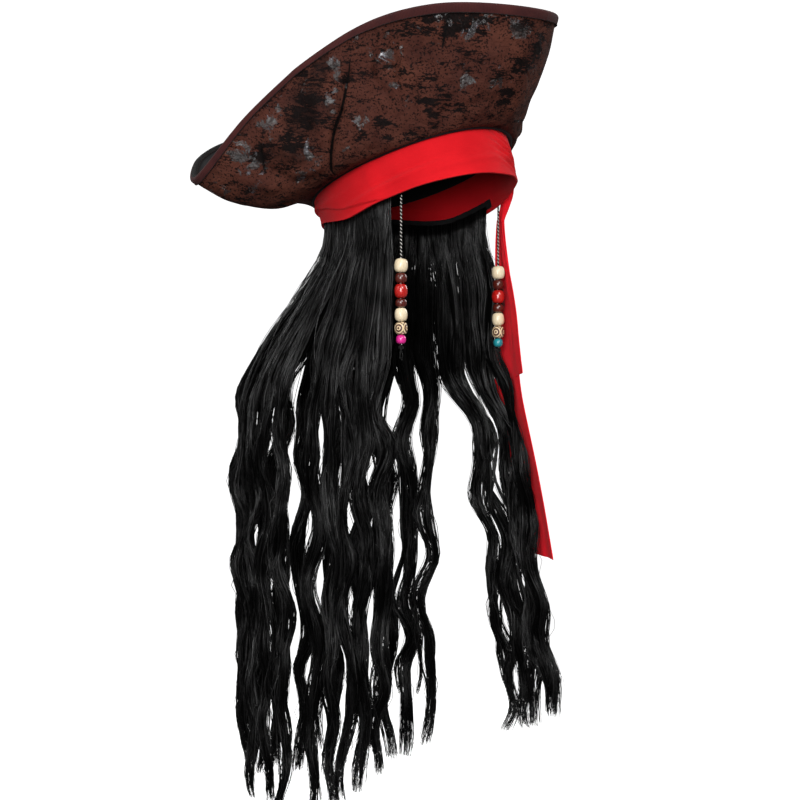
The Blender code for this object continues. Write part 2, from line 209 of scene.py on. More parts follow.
# Creases pressed into the brim: angle and share at both ends, half width and depth in mm.
# A positive depth pushes the leather towards the crown.
CREASES = (
    (-68, 0.85, -76.5, 0.66, 6.0, 2.2), (-76.5, 0.66, -83, 0.55, 6.0, 2.8),
    (-83, 0.55, -93, 0.26, 6.0, 2.4), (-88, 0.80, -94, 0.66, 9.0, 3.0),
    (-68, 0.85, -76.5, 0.66, 1.6, 2.0), (-76.5, 0.66, -83, 0.55, 1.6, 2.8),
    (-83, 0.55, -93, 0.26, 1.6, 2.4), (-93, 0.26, -95, 0.13, 1.6, 1.6),
    (-58, 0.72, -52, 0.88, 4.0, -2.0), (-48, 0.62, -44, 0.84, 4.5, -2.4),
    (-55, 0.60, -60, 0.78, 4.0, 2.2), (-104, 0.40, -107, 0.70, 3.5, 2.2),
    (-98, 0.55, -101, 0.82, 5.0, -2.6), (-74, 0.74, -72, 0.90, 4.0, -2.0),
    (-110, 0.55, -113, 0.85, 4.0, -2.0), (-26.5, 0.97, -29.5, 0.82, 1.8, 1.4),
    (-20, 0.94, -21, 0.88, 1.6, 1.2), (-33, 0.40, -12, 0.46, 5.0, 0.9),
    (-72, 0.30, -64, 0.48, 4.5, -1.6), (-118, 0.30, -124, 0.60, 5.0, 2.0),
    (-105, 0.82, -108, 0.69, 1.8, 1.4), (-94, 0.38, -103, 0.50, 5.0, -2.2),
    (54, 0.10, 50, 0.55, 4.0, 2.0), (66, 0.20, 72, 0.60, 4.5, -2.2),
    (76, 0.30, 70, 0.75, 3.2, 2.8), (88, 0.30, 94, 0.70, 4.5, -2.2),
    (102, 0.35, 104, 0.80, 3.5, 2.4), (112, 0.40, 116, 0.80, 4.5, -2.2),
    (132, 0.30, 128, 0.70, 4.0, 2.2), (150, 0.35, 154, 0.80, 4.5, -2.2),
    (168, 0.30, 172, 0.75, 4.0, 2.2), (-140, 0.30, -136, 0.75, 4.5, -2.4),
    (-152, 0.35, -156, 0.80, 3.5, 2.4), (-170, 0.30, -176, 0.70, 5.0, -2.2),
    (24, 0.45, 20, 0.85, 4.5, 1.6), (36, 0.30, 40, 0.75, 4.0, -1.8),
)
# Sharp creases whose bottoms are painted black as shadow: angle and share at both ends, half width
# in mm.
CREASE_SHADOW_LINES = (
    (-67, 0.88, -71.5, 0.765, 0.9), (-71.5, 0.765, -76.5, 0.66, 1.4),
    (-76.5, 0.66, -80, 0.61, 1.6), (-80, 0.61, -83, 0.55, 1.5), (-83, 0.55, -88, 0.42, 1.5),
    (-88, 0.42, -93, 0.26, 1.4), (-93, 0.26, -95, 0.13, 1.1),
    (-26.5, 0.97, -29.5, 0.82, 1.0), (-20, 0.94, -21, 0.88, 0.9), (-105, 0.82, -108, 0.69, 0.9),
    (30, 0.50, 34, 0.30, 0.9), (70, 0.75, 76, 0.30, 1.2), (103, 0.72, 102, 0.40, 1.1),
    (128, 0.70, 131, 0.42, 1.0), (151, 0.78, 156, 0.55, 1.0), (-152, 0.40, -156, 0.76, 1.1),
    (-176, 0.72, -172, 0.50, 0.9),
)
# Where the leather is shiny (the shiny spots also carry painted highlights), where shade is painted
# into its colour
# and where it has black patches: angle, share and radius in mm.
SHINY_SPOTS = (
    (-74, 0.78, 9), (-74, 0.89, 8), (-62, 0.97, 7), (-55, 0.88, 9), (-96, 0.92, 5),
    (-99, 0.88, 6), (-104, 0.91, 6), (-102, 0.86, 7), (-109, 0.90, 9), (-110, 0.80, 12),
    (-112, 0.68, 8), (-97, 0.54, 10), (-102, 0.47, 9), (-94, 0.41, 10), (-81, 0.36, 9),
    (-70, 0.52, 7), (-108, 0.49, 5), (-106, 0.42, 5), (-120, 0.85, 9), (-108, 0.72, 6),
    (-48, 0.88, 8), (-52, 0.81, 11), (-52, 0.70, 10), (-44, 0.82, 6), (-28, 0.94, 8),
    (-22, 0.90, 7), (-16, 0.94, 6), (-10, 0.93, 10), (-22, 0.61, 7), (-14, 0.59, 5),
    (-64, 0.55, 6), (12, 0.29, 7), (-80, 0.71, 7),
    (58, 0.62, 11), (84, 0.75, 10), (104, 0.55, 12), (126, 0.80, 9), (150, 0.45, 10),
    (172, 0.72, 9), (-132, 0.55, 10), (-158, 0.75, 10), (-174, 0.35, 8), (30, 0.86, 9),
)
PAINTED_SHADE_SPOTS = (
    (-81, 0.92, 13), (-86, 0.86, 14), (-90, 0.78, 17), (-96, 0.69, 15), (-79, 0.73, 9),
    (-102, 0.76, 10), (-97, 0.60, 9), (70, 0.62, 16), (112, 0.66, 15), (152, 0.60, 16),
    (-150, 0.62, 16), (-176, 0.70, 14), (28, 0.62, 12),
)
DARK_SPOTS = (
    (-21, 0.73, 13), (-18, 0.80, 9), (-14, 0.66, 9), (-32, 0.94, 7), (-27, 0.93, 9),
    (-20, 0.93, 8), (-5, 0.89, 9), (0, 0.84, 8), (1, 0.77, 7), (-6, 0.70, 9), (-40, 0.48, 9),
    (-31, 0.54, 8), (-23, 0.41, 9), (-7, 0.48, 10), (-38, 0.34, 10), (0, 0.06, 9),
    (-63, 0.45, 10), (-62, 0.30, 8), (-90, 0.78, 13), (-96, 0.69, 12), (-105, 0.80, 8),
    (24, 0.55, 14), (46, 0.75, 14), (72, 0.50, 17), (96, 0.78, 13), (112, 0.40, 16),
    (138, 0.62, 15), (160, 0.78, 12), (178, 0.48, 16), (-142, 0.78, 14), (-150, 0.35, 14),
)
DEGREE = 2.2 * MM                  # a degree's width half way up the brim
PROFILE = 118 * MM                 # the brim's profile from crown to edge
HEAD_DEGREE = 1.6 * MM             # a degree's width round the head
LINING_PROFILE = (                 # share up the lining, offset from the head's oval, height
    (0.0, -0.3, 14), (0.30, -0.3, 32), (0.62, -4.6, 64), (0.86, -14.3, 88), (0.93, -24.0, 90.3),
    (1.0, -76.0, 90.5),
)
# The band's pleats: place round the head or height, slope, depth and, for the soft ones, width.
SOFT_PLEATS = ((-60, 0.10, 1.6, 3.0), (-20, 0.06, 1.3, 3.5), (110, 0.12, 1.2, 3.5),
               (150, -0.08, 1.0, 3.0), (-150, 0.10, 1.1, 3.0))
FRONT_PLEATS = ((38, -0.50, 2.1), (31, -0.46, 2.7), (24, -0.40, 2.7), (17, -0.34, 2.4),
                (10, -0.28, 1.6))
# Stations down each tail, in mm: drop, half width, shift along the head and lean away from it.
SHORT_TAIL = ((0, 4, 0, 0), (12, 6, 0, 0), (30, 9, 0, 0), (60, 15, 0, 0.5),
              (110, 21, -2, 1.5), (150, 25, -4, 3.0))
LONG_TAIL = ((0, 4, 0, -1), (12, 6, 0, -1), (40, 10, 1, -1), (100, 18, 5, -1), (160, 24, 5, 3),
             (220, 25, 1, 14), (280, 25, -4, 25), (318, 25, -5, 32))


def waves(x, y, seed, count=7, longest=0.075, shortest=0.018):
    """Smooth, seeded bumps over a plane, from about -1 to 1."""
    draw = np.random.default_rng(seed)
    total, size = 0, 0
    for length in np.geomspace(longest, shortest, count):
        angle, phase = draw.uniform(0, TAU), draw.uniform(0, TAU)
        weight = length / longest
        turn = (x * math.cos(angle) + y * math.sin(angle)) / length * TAU
        total = total + weight * np.sin(turn + phase + 0.8 * np.sin(turn * 0.37 + 2 * phase))
        size += weight**2
    return total / math.sqrt(size)


def crease_gap(degrees, share, ends):
    """Places along a crease, 0 to 1 between its ends, and their distances from it in mm."""
    a0, s0, a1, s1 = ends
    x, y = signed(degrees) * DEGREE, share * PROFILE
    ax, ay, bx, by = a0 * DEGREE, s0 * PROFILE, a1 * DEGREE, s1 * PROFILE
    length2 = (bx - ax) ** 2 + (by - ay) ** 2
    along = ((x - ax) * (bx - ax) + (y - ay) * (by - ay)) / length2
    near = np.clip(along, 0, 1)
    return along, np.hypot(x - ax - near * (bx - ax), y - ay - near * (by - ay)) / MM


def folds(degrees, share):
    """How far the leather is pushed towards the crown by its creases and soft dents."""
    turn = signed(degrees)
    total = 0
    for *ends, width, depth in CREASES:
        along, gap = crease_gap(degrees, share, ends)
        fade = smoothstep((along + 0.35) / 0.5) * smoothstep((1.35 - along) / 0.5)
        shoulder = 0.35 * np.exp(-((gap - 2.4 * width) / (1.6 * width)) ** 2)
        total = total + depth * MM * (np.exp(-(gap / width) ** 2) - shoulder) * fade
    angle = np.radians(turn)
    seam_free = 0.9 * np.sin(3 * angle + 1.0) + 0.6 * np.sin(5 * angle + 0.4)
    dents = 1.1 * MM * waves(turn * DEGREE, share * PROFILE, 5)
    total = total + dents + 0.8 * MM * seam_free
    return total * smoothstep((share - 0.05) / 0.33) * smoothstep((1.02 - share) / 0.14)


def brim_surface(degrees, share, depth=0.0):
    """The folded brim, depth behind its outer face, in the row frame."""
    degrees, share = np.broadcast_arrays(np.asarray(degrees, float), np.asarray(share, float))
    shift = folds(degrees, share) + depth
    return to_world(brim_point(degrees, share) + brim_normal(degrees, share) * shift[..., None])


# ---------------------------------------------------------------- mesh helpers
def build(name, points, quads, materials, body=None, slot=None, uv=None, wrap=None,
          tris=(), slots=None, tidy=True, sharp=55):
    """A mesh object from arrays; wrap is the length of a closed uv direction.

    With tidy, its normals are turned outwards and its edges over sharp degrees made sharp.
    """
    points = np.asarray(points, np.float32).reshape(-1, 3)
    quads = np.asarray(quads, np.int32).reshape(-1, 4)
    tris = np.asarray(tris, np.int32).reshape(-1, 3)
    loops = np.concatenate([quads.ravel(), tris.ravel()])
    sizes = np.concatenate([np.full(len(quads), 4), np.full(len(tris), 3)])
    mesh = bpy.data.meshes.new(name)
    mesh.vertices.add(len(points))
    mesh.vertices.foreach_set("co", points.ravel())
    mesh.loops.add(len(loops))
    mesh.loops.foreach_set("vertex_index", loops)
    mesh.polygons.add(len(sizes))
    mesh.polygons.foreach_set("loop_start", (np.cumsum(sizes) - sizes).astype(np.int32))
    mesh.polygons.foreach_set("use_smooth", np.ones(len(sizes), bool))
    if slots is not None:
        mesh.polygons.foreach_set("material_index", np.asarray(slots, np.int32))
    if uv is not None:
        corner = np.asarray(uv, np.float32).reshape(-1, 2)[loops]
        if wrap:
            ends = np.cumsum(sizes)
            high = np.maximum.reduceat(corner[:, 0], ends - sizes)
            far = np.repeat(high, sizes) - corner[:, 0] > wrap / 2
            corner[far, 0] += wrap
        mesh.uv_layers.new(name="cloth").data.foreach_set("uv", corner.ravel())
    mesh.update(calc_edges=True)
    if tidy:
        bm = bmesh.new()
        bm.from_mesh(mesh)
        bmesh.ops.recalc_face_normals(bm, faces=bm.faces)
        bm.to_mesh(mesh)
        bm.free()
        mesh.set_sharp_from_angle(angle=math.radians(sharp))
    for material in materials if isinstance(materials, list) else [materials]:
        mesh.materials.append(material)
    made = bpy.data.objects.new(name, mesh)
    bpy.context.scene.collection.objects.link(made)
    if body:
        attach(made, body)
    return made


def grid_quads(rows, columns, closed=False, start=0):
    """Faces between rows of points; closed joins each row's last point to its first."""
    r, c = np.meshgrid(np.arange(rows - 1), np.arange(columns if closed else columns - 1),
                       indexing="ij")
    after = (c + 1) % columns
    a, b = start + r * columns + c, start + r * columns + after
    return np.stack([a, b, b + columns, a + columns], -1).reshape(-1, 4)


def ring_quads(rows, columns):
    """Faces of a closed ring: its last row joins its first."""
    first, last = np.arange(columns), (rows - 1) * columns + np.arange(columns)
    close = np.stack([last, np.roll(last, -1), np.roll(first, -1), first], -1)
    return np.concatenate([grid_quads(rows, columns, True), close])


def solid_quads(rows, columns, closed):
    """Faces of a sheet with two sides, stored one after the other, and its edges."""
    size = rows * columns
    front, back = grid_quads(rows, columns, closed), grid_quads(rows, columns, closed, size)
    lines = [row * columns + np.arange(columns) for row in (0, rows - 1)]
    if closed:
        lines = [np.append(line, line[0]) for line in lines]
    else:
        lines += [column + columns * np.arange(rows) for column in (0, columns - 1)]
    rims = [np.stack([line[:-1], line[1:], line[1:] + size, line[:-1] + size], -1)
            for line in lines]
    return np.concatenate([front, back[:, ::-1]] + rims)


def solid_sheet(name, front, back, closed, materials, uv=None, **options):
    """A closed solid between two surfaces given as rows of points."""
    rows, columns = front.shape[:2]
    points = np.concatenate([front.reshape(-1, 3), back.reshape(-1, 3)])
    if uv is not None:
        uv = np.concatenate([uv.reshape(-1, 2)] * 2)
    return build(name, points, solid_quads(rows, columns, closed), materials, uv=uv, **options)


def cupped_sheet(front, back):
    """Points and faces of a sheet with two sides that closes beyond its last row."""
    rows, columns = front.shape[:2]
    size = rows * columns
    points = np.concatenate([front.reshape(-1, 3), back.reshape(-1, 3),
                             front[-1].mean(0)[None], back[-1].mean(0)[None]])
    line = np.arange(columns)
    after = np.roll(line, -1)
    quads = np.concatenate([grid_quads(rows, columns, True),
                            grid_quads(rows, columns, True, size)[:, ::-1],
                            np.stack([line, after, after + size, line + size], -1)])
    last, beside = line + size - columns, after + size - columns
    tris = np.concatenate([
        np.stack([last, beside, np.full(columns, 2 * size)], -1),
        np.stack([last + size, np.full(columns, 2 * size + 1), beside + size], -1)])
    return points, quads, tris


def end_caps(rows, sides):
    """Fans over a tube's two ends, round the two points stored after its rows."""
    k, end, middle = np.arange(sides), (rows - 1) * sides, rows * sides
    after = (k + 1) % sides
    return np.concatenate([np.stack([np.full(sides, middle), after, k], -1),
                           np.stack([np.full(sides, middle + 1), end + k, end + after], -1)])


def frames_along(path):
    """Two unit vectors across a path at each of its points, turning as little as they can."""
    tangent = np.gradient(path, axis=0)
    tangent /= np.linalg.norm(tangent, axis=1, keepdims=True)
    start = np.array((1.0, 0, 0)) if abs(tangent[0, 0]) < 0.9 else np.array((0, 1.0, 0))
    side = np.empty_like(path)
    for k, t in enumerate(tangent):
        start = start - t * (start @ t)
        start = start / np.linalg.norm(start)
        side[k] = start
    return side, np.cross(tangent, side)


def tube(path, radius, sides):
    """Points and faces of a closed tube."""
    path = np.asarray(path, float)
    side, other = frames_along(path)
    angle = TAU * np.arange(sides) / sides
    reach = np.broadcast_to(np.asarray(radius, float), (len(path),))[:, None] * np.ones(sides)
    ring = (side[:, None, :] * (np.cos(angle) * reach)[..., None]
            + other[:, None, :] * (np.sin(angle) * reach)[..., None])
    points = np.concatenate([(path[:, None, :] + ring).reshape(-1, 3), path[:1], path[-1:]])
    return points, grid_quads(len(path), sides, True), end_caps(len(path), sides)


def join(parts):
    """One set of points and faces from several, with the part's number for each face."""
    points, quads, tris, quad_slots, tri_slots = [], [], [], [], []
    start = 0
    for number, (p, q, t) in enumerate(parts):
        points.append(p)
        quads.append(np.asarray(q).reshape(-1, 4) + start)
        tris.append(np.asarray(t).reshape(-1, 3) + start)
        quad_slots.append(np.full(len(quads[-1]), number))
        tri_slots.append(np.full(len(tris[-1]), number))
        start += len(p)
    numbers = np.concatenate(quad_slots + tri_slots)
    return np.concatenate(points), np.concatenate(quads), np.concatenate(tris), numbers


def smooth_path(points, count):
    """A Catmull-Rom curve through the points, evenly spaced."""
    p = np.asarray(points, float)
    p = np.concatenate([2 * p[:1] - p[1:2], p, 2 * p[-1:] - p[-2:-1]])
    dense = []
    for k in range(1, len(p) - 2):
        u = np.linspace(0, 1, 24, endpoint=False)[:, None]
        a, b, c, d = p[k - 1], p[k], p[k + 1], p[k + 2]
        dense.append(0.5 * (2 * b + (c - a) * u + (2 * a - 5 * b + 4 * c - d) * u**2
                            + (3 * b - a - 3 * c + d) * u**3))
    dense = np.concatenate(dense + [p[-2:-1]])
    walked = np.append(0, np.cumsum(np.linalg.norm(np.diff(dense, axis=0), axis=1)))
    wanted = np.linspace(0, walked[-1], count)
    return np.stack([np.interp(wanted, walked, dense[:, i]) for i in range(dense.shape[1])], -1)


def softened(values):
    """Values down a piece, each averaged with its neighbours."""
    kernel = np.ones(9) / 9
    return np.convolve(np.pad(values, len(kernel) // 2, "edge"), kernel, "valid")


def on_ring(at, places, ring, period):
    """The point or direction at a place round a closed row of them."""
    return np.array([np.interp(at, places, ring[:, i], period=period) for i in range(3)])


def stitches(pairs, length, radius, lift, normals):
    """Short threads that dip into the cloth at both ends: one for each pair of points."""
    parts = []
    for (a, b), up in zip(pairs, normals):
        way = (b - a) / np.linalg.norm(b - a)
        middle = (a + b) / 2
        steps = np.array((-0.5, -0.36, -0.15, 0.15, 0.36, 0.5))
        height = np.array((-0.9, 0.25, 0.9, 0.9, 0.25, -0.9)) * lift
        path = middle + way * steps[:, None] * length + up * height[:, None]
        parts.append(tube(path, np.array((0.6, 0.95, 1, 1, 0.95, 0.6)) * radius, 6))
    return join(parts)


# ---------------------------------------------------------------- materials
WAVE_LENGTH = 0.3142               # of the wave texture at scale 1


class Nodes:
    """A material with its Principled shader, and short ways to add and link nodes."""

    def __init__(self, name, colour, roughness, **sockets):
        self.material = bpy.data.materials.new(name)
        self.material.use_nodes = True
        self.tree = self.material.node_tree
        self.shader = self.tree.nodes["Principled BSDF"]
        self.set(self.shader, {"Base Color": (*colour, 1), "Roughness": roughness})
        self.set(self.shader, {k.replace("_", " "): v for k, v in sockets.items()})

    def set(self, node, values):
        for key, value in values.items():
            if isinstance(value, bpy.types.NodeSocket):
                self.tree.links.new(value, node.inputs[key])
            else:
                node.inputs[key].default_value = value
        return node

    def add(self, kind, values=None, **settings):
        node = self.tree.nodes.new("ShaderNode" + kind)
        for key, value in settings.items():
            setattr(node, key, value)
        return self.set(node, values or {})

    def rest(self, rotation=(0, 0, 0), scale=(1, 1, 1), location=(0, 0, 0)):
        """Coordinates that stay with the piece: its mesh is stored where it lies at rest."""
        place = self.add("TexCoord").outputs["Object"]
        return self.add("Mapping", {"Vector": place, "Rotation": rotation, "Scale": scale,
                                    "Location": location}).outputs[0]

    def cloth(self, scale=(1, 1, 1), rotation=(0, 0, 0)):
        """The cloth's own coordinates, in metres along and across it."""
        uv = self.add("UVMap", uv_map="cloth").outputs[0]
        return self.add("Mapping", {"Vector": uv, "Scale": scale, "Rotation": rotation}).outputs[0]

    def noise(self, vector, scale, detail=2.0, roughness=0.5, distortion=0.0):
        return self.add("TexNoise", {"Vector": vector, "Scale": scale, "Detail": detail,
                                     "Roughness": roughness, "Distortion": distortion}
                        ).outputs["Fac"]

    def wave(self, vector, scale, direction="X", distortion=0.0, detail=0.0):
        return self.add("TexWave", {"Vector": vector, "Scale": scale, "Distortion": distortion,
                                    "Detail": detail}, bands_direction=direction
                        ).outputs["Fac"]

    def math(self, operation, a, b=0.0, c=0.0):
        return self.add("Math", {0: a, 1: b, 2: c}, operation=operation).outputs[0]

    def range(self, value, low, high, to_low=0.0, to_high=1.0, smooth=False):
        kind = "SMOOTHSTEP" if smooth else "LINEAR"
        return self.add("MapRange", {"Value": value, "From Min": low, "From Max": high,
                                     "To Min": to_low, "To Max": to_high},
                        interpolation_type=kind).outputs[0]

    def mix(self, share, a, b):
        node = self.add("Mix", data_type="RGBA")
        sockets = {"Factor": node.inputs[0], "A": node.inputs[6], "B": node.inputs[7]}
        for key, value in (("Factor", share), ("A", a), ("B", b)):
            if isinstance(value, bpy.types.NodeSocket):
                self.tree.links.new(value, sockets[key])
            elif key == "Factor":
                sockets[key].default_value = value
            else:
                sockets[key].default_value = (*value, 1)
        return node.outputs[2]

    def bump(self, height, distance, strength=1.0, below=None):
        values = {"Height": height, "Distance": distance, "Strength": strength}
        if below is not None:
            values["Normal"] = below
        return self.add("Bump", values).outputs[0]

    def finish(self, **sockets):
        self.set(self.shader, {k.replace("_", " "): v for k, v in sockets.items()})
        return self.material


def leather_material():
    """Distressed brown leather with black torn patches, specks and crumpled shiny spots, and with
    shade, crease shadows and highlights painted into its colour in places.

    The brim's mesh names where it is shiny, where it is blackest, where shade is painted and where
    crease shadow is painted; noise adds the rest.
    """
    m = Nodes("hat_leather", (0.06, 0.019, 0.013), 0.55, Coat_Roughness=0.14)
    hat = m.rest(rotation=(TILT, 0, 0))
    wide = m.rest(rotation=(TILT, 0, 0), scale=(1, 1, 3.0))
    shiny, dark, shade, crease = (m.add("Attribute", attribute_name=name).outputs["Fac"]
                                  for name in ("shiny", "dark", "shade", "crease"))
    broad = m.noise(wide, 13, 2, 0.5)
    torn = m.noise(wide, 44, 9, 0.68, 0.3)
    shreds = m.noise(wide, 190, 6, 0.75)
    specks = m.noise(hat, 560, 2, 0.6)

    def centred(value, share, base):
        """The base, moved up or down by a share of how far a noise is from its middle."""
        return m.math("MULTIPLY_ADD", m.math("SUBTRACT", value, 0.5), share, base)

    level = centred(broad, 0.35, torn)
    level = centred(shreds, 0.62, level)
    level = m.math("MULTIPLY_ADD", dark, 0.125, level)
    patches = m.range(level, 0.588, 0.600)
    crowd = centred(level, 0.42, specks)
    crowd = centred(shreds, 0.45, crowd)
    small = m.range(crowd, 0.574, 0.594)
    black = m.math("MAXIMUM", patches, small)
    spots = m.math("MULTIPLY_ADD", shiny, 0.13, m.noise(hat, 60, 7, 0.72, 0.6))
    film = m.range(spots, 0.640, 0.672, smooth=True)
    tone = m.noise(hat, 26, 6, 0.65)
    brown = m.mix(m.range(tone, 0.35, 0.68), (0.044, 0.0130, 0.0092), (0.088, 0.0285, 0.0180))
    # painted shade: the brown goes near-black where the brim's dents and folds lie in shadow
    painted_shade = m.math("MULTIPLY", shade, m.range(m.noise(hat, 45, 5, 0.65, 0.5), 0.38, 0.60, 0.2, 0.95))
    brown = m.mix(painted_shade, brown, (0.0125, 0.0050, 0.0040))
    dusk = m.mix(m.range(specks, 0.4, 0.7), (0.0028, 0.0014, 0.0013), (0.0080, 0.0036, 0.0032))
    colour = m.mix(m.math("MAXIMUM", black, m.math("MULTIPLY", film, 0.82)), brown, dusk)
    # pale grey scuffs on the shiny film are partly silvery rub and partly painted highlight; the
    # near-white specks are painted glints
    flakes = m.noise(hat, 330, 5, 0.75)
    rub_and_glint = centred(m.noise(hat, 70, 2, 0.5, 0.5), 1.1, flakes)
    scuff_and_sheen = m.math("MULTIPLY", m.range(rub_and_glint, 0.57, 0.67), film)
    colour = m.mix(m.math("MULTIPLY", scuff_and_sheen, 0.55), colour, (0.080, 0.076, 0.096))
    painted_glint = m.math("MULTIPLY", m.range(rub_and_glint, 0.72, 0.76), film)
    colour = m.mix(m.math("MULTIPLY", painted_glint, 0.80), colour, (0.40, 0.40, 0.43))
    # painted shadow: the bottoms of the sharp creases go near-black
    colour = m.mix(m.range(crease, 0.35, 0.85), colour, (0.0022, 0.0012, 0.0011))
    gloss = m.noise(hat, 55, 3, 0.55)
    rough = m.math("SUBTRACT", m.range(gloss, 0.35, 0.65, 0.72, 0.84),
                   m.math("MULTIPLY", film, 0.50))
    crumple = m.bump(m.noise(hat, 85, 5, 0.6, 0.8), 0.0055, 0.75)
    crinkle = m.bump(m.noise(hat, 200, 3, 0.6, 0.5), 0.0014, 0.8, crumple)
    edge = m.bump(black, -0.00020, 0.8, crumple)
    grain = m.bump(m.noise(hat, 1500, 2, 0.6), 0.00016, 0.5, edge)
    return m.finish(Base_Color=colour, Roughness=rough, Normal=grain,
                    Specular_IOR_Level=m.math("MULTIPLY_ADD", film, 0.36, 0.09),
                    Coat_Weight=m.math("MULTIPLY", film, 0.34), Coat_Normal=crinkle)


def binding_material(name, dark, light):
    """Matte bias tape with fine cross ribs, paler where it has rubbed."""
    m = Nodes(name, dark, 0.85, Specular_IOR_Level=0.12, Sheen_Weight=0.03)
    rib = m.wave(m.cloth(), WAVE_LENGTH / 0.0013, "X", 1.2, 1)
    blot = m.noise(m.rest(), 60, 4, 0.6)
    colour = m.mix(m.range(blot, 0.3, 0.7), dark, light)
    colour = m.mix(m.range(rib, 0.0, 0.5, 0.28, 0.0), colour, tuple(0.4 * c for c in dark))
    return m.finish(Base_Color=colour, Roughness=m.range(blot, 0.3, 0.7, 0.72, 0.88),
                    Normal=m.bump(rib, 0.00035, 0.8))


def red_material(name, dark, light, ribs):
    """Soft red cloth with a fine diagonal twill and paler slubs; ribs is the twill's contrast."""
    m = Nodes(name, light, 0.88, Specular_IOR_Level=0.10, Sheen_Weight=0.04,
              Sheen_Roughness=0.5)
    twill = m.wave(m.cloth(rotation=(0, 0, math.radians(38))), WAVE_LENGTH / 0.00085, "X", 0.7, 1)
    slub = m.noise(m.cloth(scale=(1, 7, 1)), 210, 3, 0.6)
    wash = m.noise(m.rest(), 26, 3, 0.5)
    colour = m.mix(m.range(wash, 0.3, 0.7), dark, light)
    colour = m.mix(m.range(twill, 0.0, 0.45, ribs, 0.0), colour, (0.38, 0.003, 0.006))
    colour = m.mix(m.range(slub, 0.58, 0.75, 0.0, 0.25), colour, (0.88, 0.03, 0.035))
    normal = m.bump(m.noise(m.rest(), 150, 3, 0.5), 0.0006, 0.35, m.bump(twill, 0.00022, 0.7))
    return m.finish(Base_Color=colour, Roughness=m.range(slub, 0.3, 0.7, 0.78, 0.9),
                    Normal=normal)


def black_cloth_material(name, light):
    """Black plain-weave cloth with a slight sheen; light scales its gloss."""
    m = Nodes(name, (0.012, 0.012, 0.013), 0.8, Specular_IOR_Level=0.35 * light,
              Sheen_Weight=0.1 * light)
    warp = m.wave(m.cloth(), WAVE_LENGTH / 0.0010, "X", 0.4)
    weft = m.wave(m.cloth(), WAVE_LENGTH / 0.0010, "Y", 0.4)
    weave = m.math("MULTIPLY", warp, weft)
    tone = m.noise(m.rest(), 40, 4, 0.6)
    colour = m.mix(m.range(tone, 0.3, 0.7), (0.0055, 0.0055, 0.0060), (0.0130, 0.0125, 0.0130))
    colour = m.mix(m.range(weave, 0.0, 0.5, 0.35, 0.0), colour, (0.003, 0.003, 0.003))
    return m.finish(Base_Color=colour, Roughness=m.range(tone, 0.3, 0.7, 0.7, 0.88),
                    Normal=m.bump(weave, 0.0002, 0.6))


def thread_material(name, dark, light):
    """Matte thread whose fibres vary from dark to light."""
    m = Nodes(name, dark, 0.8, Specular_IOR_Level=0.12)
    ply = m.noise(m.rest(), 1800, 2, 0.5)
    return m.finish(Base_Color=m.mix(m.range(ply, 0.35, 0.65), dark, light),
                    Normal=m.bump(ply, 0.0001, 0.6))


def wood_bead_material(name, dark, light, rough, coat):
    """Painted or waxed wood: faint grain along the bore, with a clear coat."""
    m = Nodes(name, light, rough, Specular_IOR_Level=0.5, Coat_Weight=coat,
              Coat_Roughness=0.08)
    grain = m.noise(m.rest(scale=(1, 1, 0.16)), 1100, 4, 0.6, 0.4)
    blot = m.noise(m.rest(), 260, 3, 0.6)
    colour = m.mix(m.range(grain, 0.35, 0.68), dark, light)
    colour = m.mix(m.range(blot, 0.5, 0.8, 0.0, 0.35), colour, dark)
    return m.finish(Base_Color=colour, Roughness=m.range(blot, 0.3, 0.7, rough, rough + 0.12),
                    Normal=m.bump(grain, 0.00012, 0.35))


def etched_material(name, centre, radius):
    """Cream wood with burnt-in rings round a dot on each of its four sides."""
    m = Nodes(name, (0.74, 0.55, 0.32), 0.42, Specular_IOR_Level=0.5, Coat_Weight=0.3,
              Coat_Roughness=0.12)
    place = m.rest(scale=(1 / radius,) * 3, location=tuple(-c / radius for c in centre))
    parts = m.add("SeparateXYZ", {0: place})
    x, y, z = parts.outputs
    angle = m.math("DIVIDE", m.math("ARCTAN2", y, x), TAU / 4)

    # rings round points a quarter turn apart, half way up the bead: radius and half width
    part = m.math("ADD", angle, -0.17)
    part = m.math("SUBTRACT", part, m.math("ROUND", part))
    across = m.math("MULTIPLY", part, TAU / 4)
    gap = m.math("SQRT", m.math("ADD", m.math("MULTIPLY", across, across),
                                m.math("MULTIPLY", z, z)))
    marks = 0.0
    for ring, width in ((0.0, 0.20), (0.48, 0.15), (0.90, 0.07)):
        off = m.math("ABSOLUTE", m.math("SUBTRACT", gap, ring))
        marks = m.math("MAXIMUM", marks, m.range(off, width * 0.7, width, 1.0, 0.0))
    grain = m.noise(m.rest(scale=(1, 1, 0.2)), 900, 3, 0.6)
    cream = m.mix(m.range(grain, 0.35, 0.68), (0.70, 0.50, 0.28), (0.88, 0.72, 0.48))
    colour = m.mix(marks, cream, (0.060, 0.009, 0.004))
    return m.finish(Base_Color=colour, Roughness=m.range(marks, 0, 1, 0.38, 0.6),
                    Normal=m.bump(marks, -0.00025, 0.8))


def hair_materials():
    """Four shades of black fibre; their shine varies along the hair."""
    made = []
    shades = ((0.0014, 0.34, 0.04, 0.16), (0.0026, 0.34, 0.08, 0.34),
              (0.0052, 0.36, 0.16, 0.60), (0.0120, 0.40, 0.30, 0.85))
    for k, (tone, rough, dim, bright) in enumerate(shades):
        m = Nodes(f"hair_shade_{k + 1}", (tone * 1.03, tone, tone * 1.02), rough)
        shine = m.noise(m.rest(scale=(1, 1, 0.5)), 60, 2, 0.5)
        made.append(m.finish(Specular_IOR_Level=m.range(shine, 0.38, 0.62, dim, bright)))
    return made


